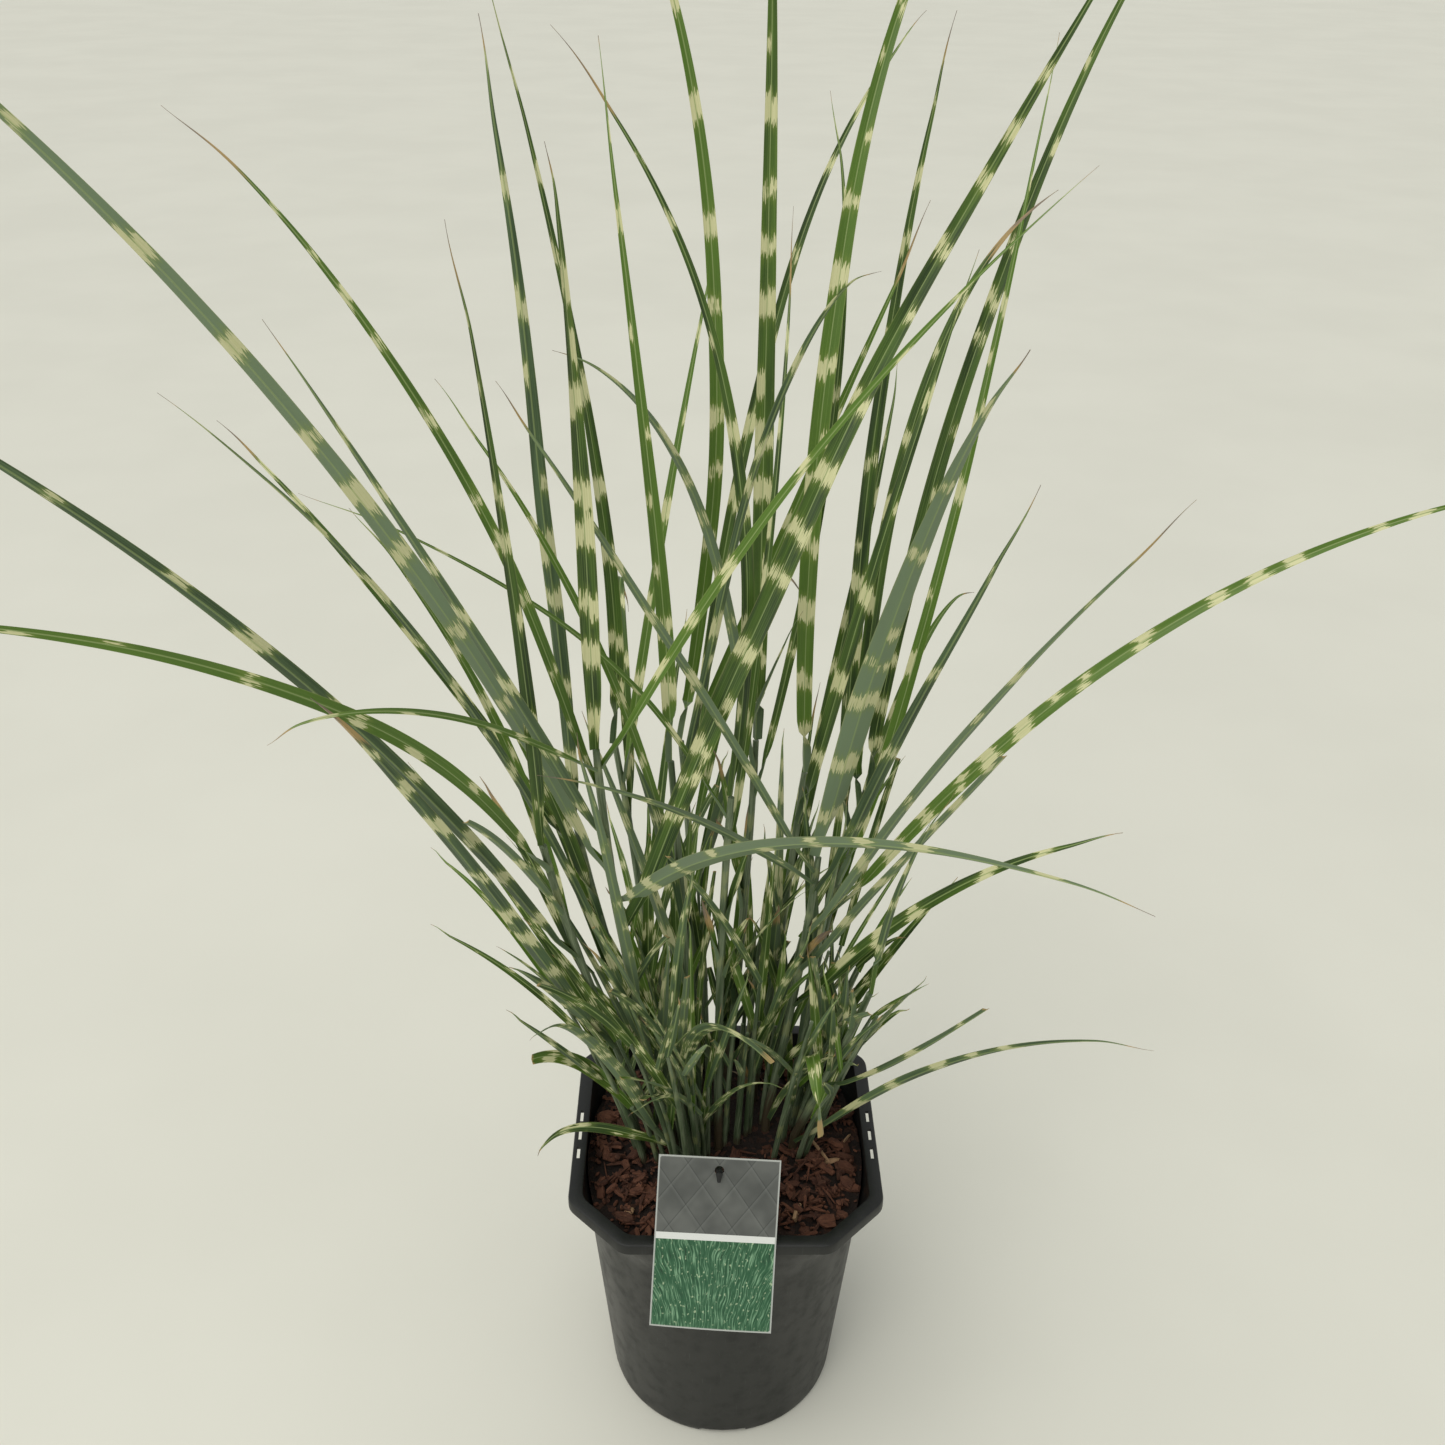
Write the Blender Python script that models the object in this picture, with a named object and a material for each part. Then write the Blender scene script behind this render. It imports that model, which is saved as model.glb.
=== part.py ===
"""Potted zebra miscanthus: a nursery pot, its mix and mulch, the culms, the leaves and the label.

Metres, +Z up. The origin is the middle of the pot's underside, which stands on the ground, and the
pot's straight rim sides lie along X and Y. The front of the pot, where the label hangs, is -Y.
"""
import math

import bmesh
import bpy
from mathutils import Matrix, Vector

MM = 0.001
CM = 0.01
GAP = 0.3 * MM              # clearance that touching pieces keep
FILL_GAP = 2.4 * MM         # clearance of the filling to the pot's wall, whose facets turn on the way up

# ---- pot: a square rim with cut corners on a round, slightly conical body
RIM_WIDTH = 220 * MM        # across the straight sides of the lip
RIM_CHAMFER = 39 * MM       # how much of each side the cut corner takes
CORNER_ROUND = 6 * MM       # length that softens each rim corner
POT_HEIGHT = 235 * MM
LIP_DEPTH = 8.5 * MM        # height of the lip's skirt
LIP_PLATE = 2.5 * MM        # thickness of the lip's flat top
LIP_REACH = 7 * MM          # how far the lip stands out from the wall
LIP_WIDTH = 10 * MM         # width of the lip's flat top
WALL = 1.5 * MM
BASE_RADIUS = 86.5 * MM
SHOULDER_RADIUS = 103 * MM  # radius of the round body where the facets begin
SHOULDER_HEIGHT = 188 * MM
WALL_LEVELS = (188 * MM, 202 * MM, 217 * MM)  # where the faceted part of the wall has its rings
DISC_RADIUS = 58 * MM       # the flat middle of the base, which stands on the ground
CHANNEL_RADIUS = 78 * MM    # outer edge of the raised drainage channel
CHANNEL_HEIGHT = 6 * MM
FLOOR = 2 * MM
NOTCH_WIDTH = 35 * MM
HOLE_RADIUS = 5 * MM
HOLE_COUNT = 6
SLOT_LENGTH = 11 * MM
SLOT_WIDTH = 2.4 * MM
SLOT_PLACES = (10 * MM, -8 * MM, -26 * MM)

# ---- growing mix and mulch
MIX_HEIGHT = 205 * MM
CROWN_HEIGHT = 212 * MM
CROWN_CENTRE = Vector((0, 28 * MM, 0))
CROWN_RADII = (70 * MM, 58 * MM)
MULCH_HEIGHT = 222 * MM

# ---- label
CARD_SIZE = (82 * MM, 118 * MM)
CARD_THICKNESS = 0.6 * MM
CARD_LEAN = math.radians(27)        # from upright, the top towards the plant
CARD_TILT = math.radians(-3)        # in its own plane
CARD_ABOVE_RIM = 62 * MM            # length of card above the lip that it leans on
CARD_SHIFT = -8 * MM
HOLE_BELOW_TOP = 9 * MM

# ---- plant, in centimetres so that the lists below read like a planting plan
PLANT_TURN = math.radians(-2.5)     # how the clump is turned in the pot
CULM_RADIUS = 0.34
CULM_STEPS = 4
FOOT_RISE = 1.2                     # a stem leaves the crown straight up for this far
BLADE_STEPS = 11
SHORT_STEPS = 6
BLADE_BASE = 0.55                   # a blade's width at its collar, as a share of its widest
BLADE_WIDEST = 0.25                 # where along the blade it is widest
BLADE_POINT = 0.06                  # width left at the tip
BLADE_SECTION = ((-0.5, 0.13), (0.0, 0.03), (0.5, 0.13), (0.0, -0.07))  # at a width of one
STANDOFF = 0.38                     # gap between culm and blade, as a share of the blade's width
LIGHT = (0, -0.9, 0.4)              # the side that the blades turn their faces to
LIGHT_PULL = 1.7                    # how strongly they turn to it, against lying flat
CUT_SHARE = 0.6                     # how much of its taper a cut blade has run through

# culm: place on the crown, middle and top
CULMS = {
    "a": ((-5.0, 0.0), (-9, -4, 40), (-11, -7, 53)),
    "b": ((-3.5, -1.0), (-6.5, -2, 39), (-8, -4, 58)),
    "c": ((-2.5, 1.5), (-3, 2, 37), (-4, 3, 53)),
    "d": ((-0.5, 0.0), (-0.5, 1, 38), (0, 2, 51)),
    "e": ((3.0, 2.0), (5, 3, 36), (6, 4, 45)),
    "f": ((2.0, 5.0), (3.5, 7, 34), (5, 10, 48)),
    "g": ((0.0, 6.5), (1, 9, 38), (1.5, 11, 50)),
    "h": ((-5.0, 3.5), (-8.5, 5, 35), (-11, 7, 45)),
    "i": ((5.0, 0.0), (8, -1, 32), (9.5, -3, 39)),
    "j": ((-2.5, 7.5), (-3, 11, 36), (-4, 14, 48)),
    "k": ((5.0, 4.5), (7, 8, 36), (9.5, 11, 46)),
    "l": ((-5.0, 6.0), (-7, 12, 35), (-9, 15, 47)),
}

# leaf: how far up its culm it parts, middle, tip, widest in millimetres, turn in degrees, cut or not
LEAVES = {
    "a": (
        (1.00, (-12, -7, 70), (-14, -6, 89), 9, 30, False),
        (0.93, (-21, -18, 69.5), (-40, -29, 78), 9, -20, False),
        (0.68, (-23, -16, 71), (-39, -27, 91), 10.5, 25, False),
        (0.45, (-15.5, -12, 57), (-19, -20, 70), 11.5, 10, False),
    ),
    "b": (
        (1.00, (-8.5, -3, 77), (-9.5, -2, 92), 11.5, 40, False),
        (0.97, (4, -3, 76), (17, -6, 92), 8, -30, False),
        (0.93, (-17, -2, 78), (-30, 2, 93), 8, 20, False),
        (0.86, (-13.5, -11.5, 70), (-20, -17, 87), 9, -15, False),
        (0.80, (-22, -10, 81), (-42, -18, 107), 13, 15, False),
        (0.75, (4, -22, 64), (17, -34, 70), 11.5, 0, False),
        (0.69, (7, 6, 76), (22, 12, 103), 15, 35, False),
        (0.52, (-15, -7, 63), (-26, -15, 83), 6.5, 20, False),
    ),
    "c": (
        (1.00, (-5, 4, 70), (-8, 6, 96), 10.5, -35, False),
    ),
    "d": (
        (1.00, (-1, 6, 77), (-11, 10, 96), 9, 25, False),
        (0.95, (-9, 0, 63), (-23, -6, 75), 5, 10, False),
        (0.86, (2, 8, 66), (3, 14, 86), 6.5, -30, False),
    ),
    "e": (
        (1.00, (10, 1, 66), (14, -8, 84), 19, 10, False),
        (0.94, (-5, -1, 66), (-13, -3, 80), 6.5, 25, False),
        (0.86, (11, 3, 56), (17, 0, 74), 10.5, -25, False),
        (0.72, (15, -1, 59), (24, -8, 76), 9, 15, False),
        (0.60, (11, -1.5, 48.5), (16, -5, 59), 9, 20, True),
        (0.50, (14, 0, 45), (24, -4, 53), 10.5, -10, False),
    ),
    "f": (
        (1.00, (6, 13, 84), (13, 17, 108), 13, 30, False),
        (0.90, (9, 8, 66), (14, 12, 84), 10.5, -20, False),
    ),
    "g": (
        (1.00, (1.5, 14, 83), (1, 17, 109), 13, 25, False),
        (0.92, (-3, 10, 69), (-11, 7, 79), 8, 20, False),
    ),
    "h": (
        (1.00, (-12, 5, 74), (-14, 6, 97), 10.5, 35, False),
        (0.90, (-21.5, 5, 62), (-31.5, 6, 74.5), 8, -20, False),
    ),
    "i": (
        (1.00, (10.5, -4.5, 48), (12.5, -9, 59), 6.5, 20, False),
        (0.45, (11.5, -6, 36), (16, -10, 44), 8, 15, True),
        (0.20, (15, -7, 37), (25, -14, 45), 8, -10, False),
    ),
    "j": (
        (1.00, (-2, 15, 84), (-9, 17, 108), 10.5, -25, False),
        (0.84, (2, 17, 78), (11, 24, 96), 8, 20, False),
    ),
    "k": (
        (1.00, (16, 18, 79), (28, 26, 106), 11.5, 25, False),
        (0.94, (11, 11, 74), (19, 15, 87), 10.5, -20, False),
        (0.86, (9, 17, 72), (13, 24, 96), 11.5, 30, False),
        (0.72, (14, 12, 66), (19, 22, 95), 9, -15, False),
        (0.64, (28.5, 9, 61), (54, 13, 70), 10.5, 15, False),
    ),
    "l": (
        (1.00, (-10, 17, 68), (-16, 20, 99), 11.5, 30, False),
        (0.80, (-9, 21, 56), (-9, 27, 52), 9, 10, False),
    ),
}

# slender blades that stay one piece with their culm: as above
SLENDER = {
    "a": ((0.80, (-12, -11, 55), (-13.5, -15, 60), 6.5, 10, True),
          (0.76, (-14.5, -3, 60), (-21, -3, 73), 8, 25, False)),
    "b": ((0.97, (-15, -16, 67), (-21, -22, 69), 5, 20, False),),
    "c": ((0.92, (2, 0, 77), (7, -6, 87), 6.5, 15, False),
          (0.78, (-9, 1, 64), (-17, 0, 79), 6.5, -15, False)),
    "e": ((0.90, (-2, -8, 56), (-9, -18, 65), 6.5, 10, False),),
    "f": ((0.78, (8, 15, 60), (11, 23, 74), 9, 25, False),),
    "g": ((0.85, (6, 13, 74), (5, 18, 92), 6.5, 20, False),),
    "h": ((0.66, (-15, 10, 50), (-21, 15, 58), 8, 15, False),),
    "j": ((0.96, (4.5, 15.5, 68), (11.5, 16, 86), 8, 15, False),
          (0.72, (1, 20, 56), (5, 26, 54), 8, 0, False)),
    "k": ((0.50, (12, 15, 52), (17, 20, 58), 8, 15, False),),
    "l": ((0.90, (-5, 18, 66), (-2, 22, 82), 8, -20, False),),
}

# basal shoots: foot on the crown, top of the short stem, then their blades as above
SHOOTS = {
    "left": ((-2.9, -2.0), (-6.5, -3, 28), (
        (1.00, (-10, -3, 32), (-13, -5, 34), 10.5, 0, True),
        (0.80, (-9, -7, 38), (-11, -13, 43), 10.5, 10, False),
        (0.60, (-10, -3, 26), (-13, -5, 25), 8, 0, False),
    )),
    "middle": ((-1.8, -0.8), (-3, -2.5, 31), (
        (1.00, (-1, -8, 40), (3, -11, 40), 10.5, 0, True),
        (0.80, (-4, -7, 33), (-6, -10, 34), 6.5, 10, False),
        (0.60, (1, -6, 33), (4, -9, 36), 6.5, 10, False),
    )),
    "right": ((5.5, 2.5), (7, 2, 28), (
        (1.00, (8, 1, 34), (10, 0, 38), 8, 0, False),
        (0.85, (6, -5, 35), (6.5, -9, 32), 10.5, 0, True),
        (0.60, (10, 3, 30), (13, 3, 33), 8, 15, False),
        (0.70, (3, 0, 31), (0, -2, 34), 6.5, 10, False),
    )),
}

COLOURS = {
    "pot": ((0.035, 0.037, 0.040), 0.45),
    "potting_mix": ((0.020, 0.014, 0.010), 1.0),
    "bark_mulch": ((0.110, 0.045, 0.028), 0.9),
    "culm": ((0.130, 0.190, 0.100), 0.5),
    "leaf": ((0.075, 0.140, 0.035), 0.45),
    "label_card": ((0.350, 0.360, 0.350), 0.3),
    "label_peg": ((0.010, 0.010, 0.010), 0.4),
}


def new_collection(name):
    """A collection linked to the scene."""
    collection = bpy.data.collections.new(name)
    bpy.context.scene.collection.children.link(collection)
    return collection


def material(kind):
    """The Principled material of one kind of piece, made once."""
    if kind in bpy.data.materials:
        return bpy.data.materials[kind]
    colour, roughness = COLOURS[kind]
    made = bpy.data.materials.new(kind)
    made.use_nodes = True
    shader = made.node_tree.nodes["Principled BSDF"]
    shader.inputs["Base Color"].default_value = (*colour, 1)
    shader.inputs["Roughness"].default_value = roughness
    shader.inputs["Metallic"].default_value = 0
    return made


def add_object(name, data, collection, kind=None):
    """An object that holds the data, in a collection, with the material of its kind."""
    piece = bpy.data.objects.new(name, data)
    collection.objects.link(piece)
    if kind:
        data.materials.clear()
        data.materials.append(material(kind))
    return piece


def as_guide(piece):
    """Marks an object as a cutter or a joined blade and not a piece."""
    piece.hide_render = True
    piece.display_type = "WIRE"
    return piece


def boolean(piece, other, operation):
    """Cuts the other shape from a piece, or joins it to the piece."""
    modifier = piece.modifiers.new(other.name, "BOOLEAN")
    modifier.operation = operation
    modifier.object = other


def box_cutter(name, centre, size, guides):
    """A box-shaped cutter."""
    bpy.ops.mesh.primitive_cube_add(size=1, location=centre)
    cutter = bpy.context.object
    cutter.name = name
    cutter.scale = size
    for collection in list(cutter.users_collection):
        collection.objects.unlink(cutter)
    guides.objects.link(cutter)
    return as_guide(cutter)


def hole_cutter(name, centre, radius, height, guides):
    """A round cutter that stands upright."""
    bpy.ops.mesh.primitive_cylinder_add(vertices=8, radius=radius, depth=height, location=centre)
    cutter = bpy.context.object
    cutter.name = name
    for collection in list(cutter.users_collection):
        collection.objects.unlink(cutter)
    guides.objects.link(cutter)
    return as_guide(cutter)


# ---------------------------------------------------------------- pot, mix and mulch

def round_radius(z):
    """Radius of the body's round form at a height."""
    return BASE_RADIUS + (SHOULDER_RADIUS - BASE_RADIUS) * z / SHOULDER_HEIGHT


def facet_share(z):
    """How far the wall has turned from round to faceted: 0 at the shoulder, 1 under the lip."""
    under_lip = POT_HEIGHT - LIP_PLATE
    share = (z - SHOULDER_HEIGHT) / (under_lip - SHOULDER_HEIGHT)
    return min(max(share, 0.0), 1.0)


def rim_outline(inset):
    """The square with cut, softened corners that the lip has, moved in by an inset."""
    half = RIM_WIDTH / 2 - inset
    corner = (RIM_WIDTH - RIM_CHAMFER) / math.sqrt(2) - inset
    reach = corner * math.sqrt(2) - half
    corners = [(half, -reach), (half, reach), (reach, half), (-reach, half)]
    corners += [(-x, -y) for x, y in corners]
    points = []
    for i, here in enumerate(corners):
        here = Vector(here)
        following = Vector(corners[(i + 1) % 8])
        along = (following - here).normalized() * CORNER_ROUND
        start = here + along
        end = following - along
        steps = 5 if i % 2 == 0 else 3
        points += [start.lerp(end, k / (steps - 1)) for k in range(steps)]
    return points


def wall_ring(z, inset, radius, share):
    """One level of the wall, between a circle and the faceted outline."""
    outline = rim_outline(inset)
    return [Vector((*(point.normalized() * radius).lerp(point, share), z)) for point in outline]


def body_ring(z, thickness):
    """The wall's level at a height, moved in by a thickness from its outer face."""
    return wall_ring(z, LIP_REACH + thickness, round_radius(z) - thickness, facet_share(z))


def circle_ring(z, radius):
    """A round level with as many points as the wall has."""
    return wall_ring(z, 0, radius, 0)


def loft(name, rings, low, high):
    """A closed skin over rings of points, with a middle point under the first and over the last."""
    shape = bmesh.new()
    loops = [[shape.verts.new(point) for point in ring] for ring in rings]
    for lower, upper in zip(loops, loops[1:]):
        count = len(lower)
        for i in range(count):
            j = (i + 1) % count
            shape.faces.new((lower[i], lower[j], upper[j], upper[i]))
    for loop, middle, turned in ((loops[0], low, True), (loops[-1], high, False)):
        hub = shape.verts.new(middle)
        for i in range(len(loop)):
            j = (i + 1) % len(loop)
            shape.faces.new((loop[j], loop[i], hub) if turned else (loop[i], loop[j], hub))
    mesh = bpy.data.meshes.new(name)
    shape.to_mesh(mesh)
    shape.free()
    mesh.shade_smooth()
    mesh.set_sharp_from_angle(angle=math.radians(25))
    return mesh


def build_pot(parts, guides):
    """The pot: base with its drainage channel, round body, facets, and the lip turned out and down."""
    under_lip = POT_HEIGHT - LIP_PLATE
    skirt_bottom = POT_HEIGHT - LIP_DEPTH
    floor_top = CHANNEL_HEIGHT + FLOOR
    rings = [
        circle_ring(0, DISC_RADIUS),
        circle_ring(CHANNEL_HEIGHT, DISC_RADIUS + 2 * MM),
        circle_ring(CHANNEL_HEIGHT, CHANNEL_RADIUS - 2 * MM),
        circle_ring(0, CHANNEL_RADIUS),
        circle_ring(0, BASE_RADIUS - 2 * MM),
        body_ring(3 * MM, 0),
    ]
    rings += [body_ring(z, 0) for z in WALL_LEVELS]
    rings += [
        body_ring(under_lip, 0),
        wall_ring(under_lip, WALL, 0, 1),
        wall_ring(skirt_bottom, WALL, 0, 1),
        wall_ring(skirt_bottom, 0, 0, 1),
        wall_ring(POT_HEIGHT - MM, 0, 0, 1),
        wall_ring(POT_HEIGHT, MM, 0, 1),
        wall_ring(POT_HEIGHT, LIP_WIDTH - MM, 0, 1),
        wall_ring(POT_HEIGHT - MM, LIP_WIDTH, 0, 1),
        wall_ring(under_lip, LIP_WIDTH, 0, 1),
    ]
    rings += [body_ring(z, WALL) for z in reversed(WALL_LEVELS)]
    rings += [
        body_ring(floor_top + 2 * MM, WALL),
        circle_ring(floor_top, BASE_RADIUS - WALL - 2 * MM),
        circle_ring(floor_top, DISC_RADIUS),
        circle_ring(FLOOR, DISC_RADIUS - 2 * MM),
    ]
    mesh = loft("pot", rings, (0, 0, 0), (0, 0, FLOOR))
    pot = add_object("pot", mesh, parts, "pot")
    foot = (CHANNEL_RADIUS + BASE_RADIUS) / 2
    for name, angle in (("front", -90), ("right", 0), ("back", 90), ("left", 180)):
        turn = math.radians(angle)
        centre = Vector((math.cos(turn), math.sin(turn), 0)) * foot
        centre.z = (CHANNEL_HEIGHT - 1.5 * MM) / 2 - 5 * MM
        size = (14 * MM, NOTCH_WIDTH, CHANNEL_HEIGHT - 1.5 * MM + 10 * MM)
        cutter = box_cutter(f"notch_{name}", centre, size, guides)
        cutter.rotation_euler.z = turn
        boolean(pot, cutter, "DIFFERENCE")
    for k in range(HOLE_COUNT):
        turn = math.radians(30 + 360 * k / HOLE_COUNT)
        middle = (DISC_RADIUS + CHANNEL_RADIUS) / 2
        centre = (middle * math.cos(turn), middle * math.sin(turn), CHANNEL_HEIGHT)
        boolean(pot, hole_cutter(f"drain_{k}", centre, HOLE_RADIUS, 10 * MM, guides), "DIFFERENCE")
    lip_middle = RIM_WIDTH / 2 - (LIP_REACH + WALL) / 2
    for side in (-1, 1):
        for k, y in enumerate(SLOT_PLACES):
            name = f"slot_{'left' if side < 0 else 'right'}_{k}"
            size = (SLOT_WIDTH, SLOT_LENGTH, 4 * LIP_PLATE)
            cutter = box_cutter(name, (side * lip_middle, y, POT_HEIGHT), size, guides)
            boolean(pot, cutter, "DIFFERENCE")
    return pot


def crown_ring(z, grow=0.0):
    """The oval edge of the root crown, with as many points as the wall has."""
    outline = [point.normalized() for point in rim_outline(0)]
    wide, deep = CROWN_RADII
    return [CROWN_CENTRE + Vector((point.x * (wide + grow), point.y * (deep + grow), z))
            for point in outline]


def build_mix(parts):
    """The root ball, a gap inside the pot, with its low crown in the middle."""
    inside = WALL + FILL_GAP
    floor_top = CHANNEL_HEIGHT + FLOOR + GAP
    rings = [
        circle_ring(FLOOR + GAP, DISC_RADIUS - 2 * MM - 2 * GAP),
        circle_ring(floor_top, DISC_RADIUS - 2 * GAP),
        circle_ring(floor_top, BASE_RADIUS - WALL - 2 * MM - 2 * GAP),
        body_ring(floor_top + 3 * MM, inside),
        body_ring(WALL_LEVELS[0], inside),
        body_ring(WALL_LEVELS[1], inside),
        body_ring(MIX_HEIGHT, inside),
        crown_ring(MIX_HEIGHT),
        crown_ring(CROWN_HEIGHT, -4 * MM),
    ]
    crown_middle = CROWN_CENTRE + Vector((0, 0, CROWN_HEIGHT))
    mesh = loft("potting_mix", rings, (0, 0, FLOOR + GAP), crown_middle)
    return add_object("potting_mix", mesh, parts, "potting_mix")


def build_mulch(parts):
    """The ring of bark chips on the mix, around the crown."""
    inside = WALL + FILL_GAP
    bottom = MIX_HEIGHT + GAP
    rings = [
        crown_ring(bottom, GAP * 2),
        body_ring(bottom, inside),
        body_ring(WALL_LEVELS[2], inside),
        body_ring(MULCH_HEIGHT, inside + 4 * MM),
        crown_ring(MULCH_HEIGHT, 4 * MM),
        crown_ring(MULCH_HEIGHT - 4 * MM, GAP * 2),
    ]
    shape = bmesh.new()
    loops = [[shape.verts.new(point) for point in ring] for ring in rings]
    for lower, upper in zip(loops, loops[1:] + loops[:1]):
        for i in range(len(lower)):
            j = (i + 1) % len(lower)
            shape.faces.new((lower[i], lower[j], upper[j], upper[i]))
    mesh = bpy.data.meshes.new("bark_mulch")
    shape.to_mesh(mesh)
    shape.free()
    mesh.shade_smooth()
    return add_object("bark_mulch", mesh, parts, "bark_mulch")


# ---------------------------------------------------------------- culms and leaves

def planted(point):
    """A place in the clump, in centimetres, as metres in the pot's own axes."""
    return Matrix.Rotation(PLANT_TURN, 3, "Z") @ (Vector(point) * CM)


def through(start, middle, end, steps):
    """Points on the smooth arch that starts, passes the middle half way and ends."""
    control = middle * 2 - (start + end) / 2
    points = []
    for k in range(steps + 1):
        t = k / steps
        points.append(start * (1 - t) ** 2 + control * 2 * t * (1 - t) + end * t ** 2)
    return points


def round_object(name, points, radii, collection, kind):
    """A round rod along a line of points, its ends closed."""
    curve = bpy.data.curves.new(name, "CURVE")
    curve.dimensions = "3D"
    curve.use_fill_caps = True
    curve.bevel_depth = 1.0
    curve.bevel_resolution = 2
    spline = curve.splines.new("POLY")
    spline.points.add(len(points) - 1)
    for place, point, radius in zip(spline.points, points, radii):
        place.co = (*point, 1)
        place.radius = radius
    return add_object(name, curve, collection, kind)


def blade_width(t, cut):
    """A blade's width along its length, as a share of its widest."""
    if cut:
        t *= CUT_SHARE
    if t < BLADE_WIDEST:
        return BLADE_BASE + (1 - BLADE_BASE) * math.sin(math.pi / 2 * t / BLADE_WIDEST)
    taper = (t - BLADE_WIDEST) / (1 - BLADE_WIDEST)
    return max(1 - taper ** 1.5, BLADE_POINT)


def stem_foot(base):
    """Where a stem leaves the crown, and the place straight above it."""
    foot = planted((*base, 0))
    foot.z = CROWN_HEIGHT + GAP
    return foot, foot + Vector((0, 0, FOOT_RISE * CM))


def culm_route(base, middle, top):
    """The culm's own line, from just over the crown to its top."""
    foot, rise = stem_foot(base)
    return [foot, *through(rise, planted(middle), planted(top), CULM_STEPS)]


def culm_point(route, share):
    """A place along a culm, and the way it runs there."""
    reach = share * (len(route) - 1)
    k = min(int(reach), len(route) - 2)
    place = route[k].lerp(route[k + 1], reach - k)
    return place, (route[k + 1] - route[k]).normalized()


def culm_radius(share):
    """A culm is thickest at its foot, in metres."""
    return CULM_RADIUS * CM * (1 - 0.35 * share)


def blade_face(start, end):
    """The way a blade's face looks: between straight up and the light."""
    along = (end - start).normalized()
    side = along.cross((0, 0, 1)).normalized()
    flat = side.cross(along)
    light = Vector(LIGHT)
    lit = (light - along * light.dot(along)).normalized()
    pull = LIGHT_PULL if flat.dot(light) > 0 else -LIGHT_PULL
    return (flat + lit * pull).normalized()


def blade_rings(points, widths, face, turn):
    """The blade's section at each point of its line: left edge, groove, right edge and keel."""
    last = len(points) - 1
    rings = []
    for k, (point, width) in enumerate(zip(points, widths)):
        along = (points[min(k + 1, last)] - points[max(k - 1, 0)]).normalized()
        up = (face - along * face.dot(along)).normalized()
        up = Matrix.Rotation(turn * k / last, 3, along) @ up
        across = along.cross(up)
        rings.append([point + (across * x + up * y) * width for x, y in BLADE_SECTION])
    return rings


def blade_mesh(name, rings):
    """A closed mesh over a blade's sections, every face's diagonal drawn from the blade's edge."""
    shape = bmesh.new()
    loops = [[shape.verts.new(point) for point in ring] for ring in rings]
    for here, ahead in zip(loops, loops[1:]):
        for i in range(4):
            j = (i + 1) % 4
            if i % 2 == 0:
                shape.faces.new((here[i], here[j], ahead[j]))
                shape.faces.new((here[i], ahead[j], ahead[i]))
            else:
                shape.faces.new((here[i], here[j], ahead[i]))
                shape.faces.new((here[j], ahead[j], ahead[i]))
    for left, groove, right, keel in (loops[0], loops[-1]):
        shape.faces.new((left, groove, keel))
        shape.faces.new((groove, right, keel))
    bmesh.ops.recalc_face_normals(shape, faces=shape.faces)
    mesh = bpy.data.meshes.new(name)
    shape.to_mesh(mesh)
    shape.free()
    return mesh


def blade_start(route, share, middle, tip, width, rooted):
    """Where a blade begins: over the culm's top, on the side it leans to, or inside if rooted."""
    place, along = culm_point(route, share)
    if rooted:
        return place
    if share == 1.0:
        return place + along * 2 * GAP
    away = middle * 2 - (place + tip) / 2 - place
    away -= along * away.dot(along)
    return place + away.normalized() * (culm_radius(share) + STANDOFF * width * MM)


def build_blade(name, route, leaf, collection, steps, rooted=False):
    """One leaf blade, arching from its culm to its tip."""
    share, middle, tip, width, turn, cut = leaf
    middle = planted(middle)
    tip = planted(tip)
    start = blade_start(route, share, middle, tip, width, rooted)
    points = through(start, middle, tip, steps)
    widths = [width * MM * blade_width(k / steps, cut) for k in range(steps + 1)]
    rings = blade_rings(points, widths, blade_face(start, tip), math.radians(turn))
    return add_object(name, blade_mesh(name, rings), collection, "leaf")


def to_mesh(piece):
    """Replaces a curve object by its closed mesh, so that it can be joined to others."""
    graph = bpy.context.evaluated_depsgraph_get()
    mesh = bpy.data.meshes.new_from_object(piece.evaluated_get(graph))
    shape = bmesh.new()
    shape.from_mesh(mesh)
    bmesh.ops.remove_doubles(shape, verts=shape.verts, dist=0.01 * MM)
    shape.to_mesh(mesh)
    shape.free()
    name = piece.name
    owners = list(piece.users_collection)
    place = piece.matrix_world.copy()
    curve = piece.data
    bpy.data.objects.remove(piece)
    bpy.data.curves.remove(curve)
    made = bpy.data.objects.new(name, mesh)
    made.matrix_world = place
    for collection in owners:
        collection.objects.link(made)
    return made


def join_blades(stem, route, blades, guides):
    """Makes slender blades one piece with their stem."""
    bpy.context.view_layer.update()
    stem = to_mesh(stem)
    for k, leaf in enumerate(blades, 1):
        name = f"{stem.name}_blade_{k}"
        blade = build_blade(name, route, leaf, guides, SHORT_STEPS, rooted=True)
        boolean(stem, as_guide(blade), "UNION")
    return stem


def build_culm(letter, parts, guides):
    """A culm with its leaves, and its slender blades if it has any."""
    route = culm_route(*CULMS[letter])
    radii = [culm_radius(k / (len(route) - 1)) for k in range(len(route))]
    stem = round_object(f"culm_{letter}", route, radii, parts, "culm")
    if letter in SLENDER:
        join_blades(stem, route, SLENDER[letter], guides)
    for k, leaf in enumerate(LEAVES[letter], 1):
        build_blade(f"leaf_{letter}{k}", route, leaf, parts, BLADE_STEPS)


def build_shoot(side, parts, guides):
    """A low shoot: a short stem with its young blades, all one piece."""
    base, top, blades = SHOOTS[side]
    foot, rise = stem_foot(base)
    route = [foot, rise, planted(top)]
    radii = [2.4 * MM, 2.2 * MM, 1.8 * MM]
    stem = round_object(f"shoot_{side}", route, radii, parts, "culm")
    join_blades(stem, route, blades, guides)


# ---------------------------------------------------------------- label

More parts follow.
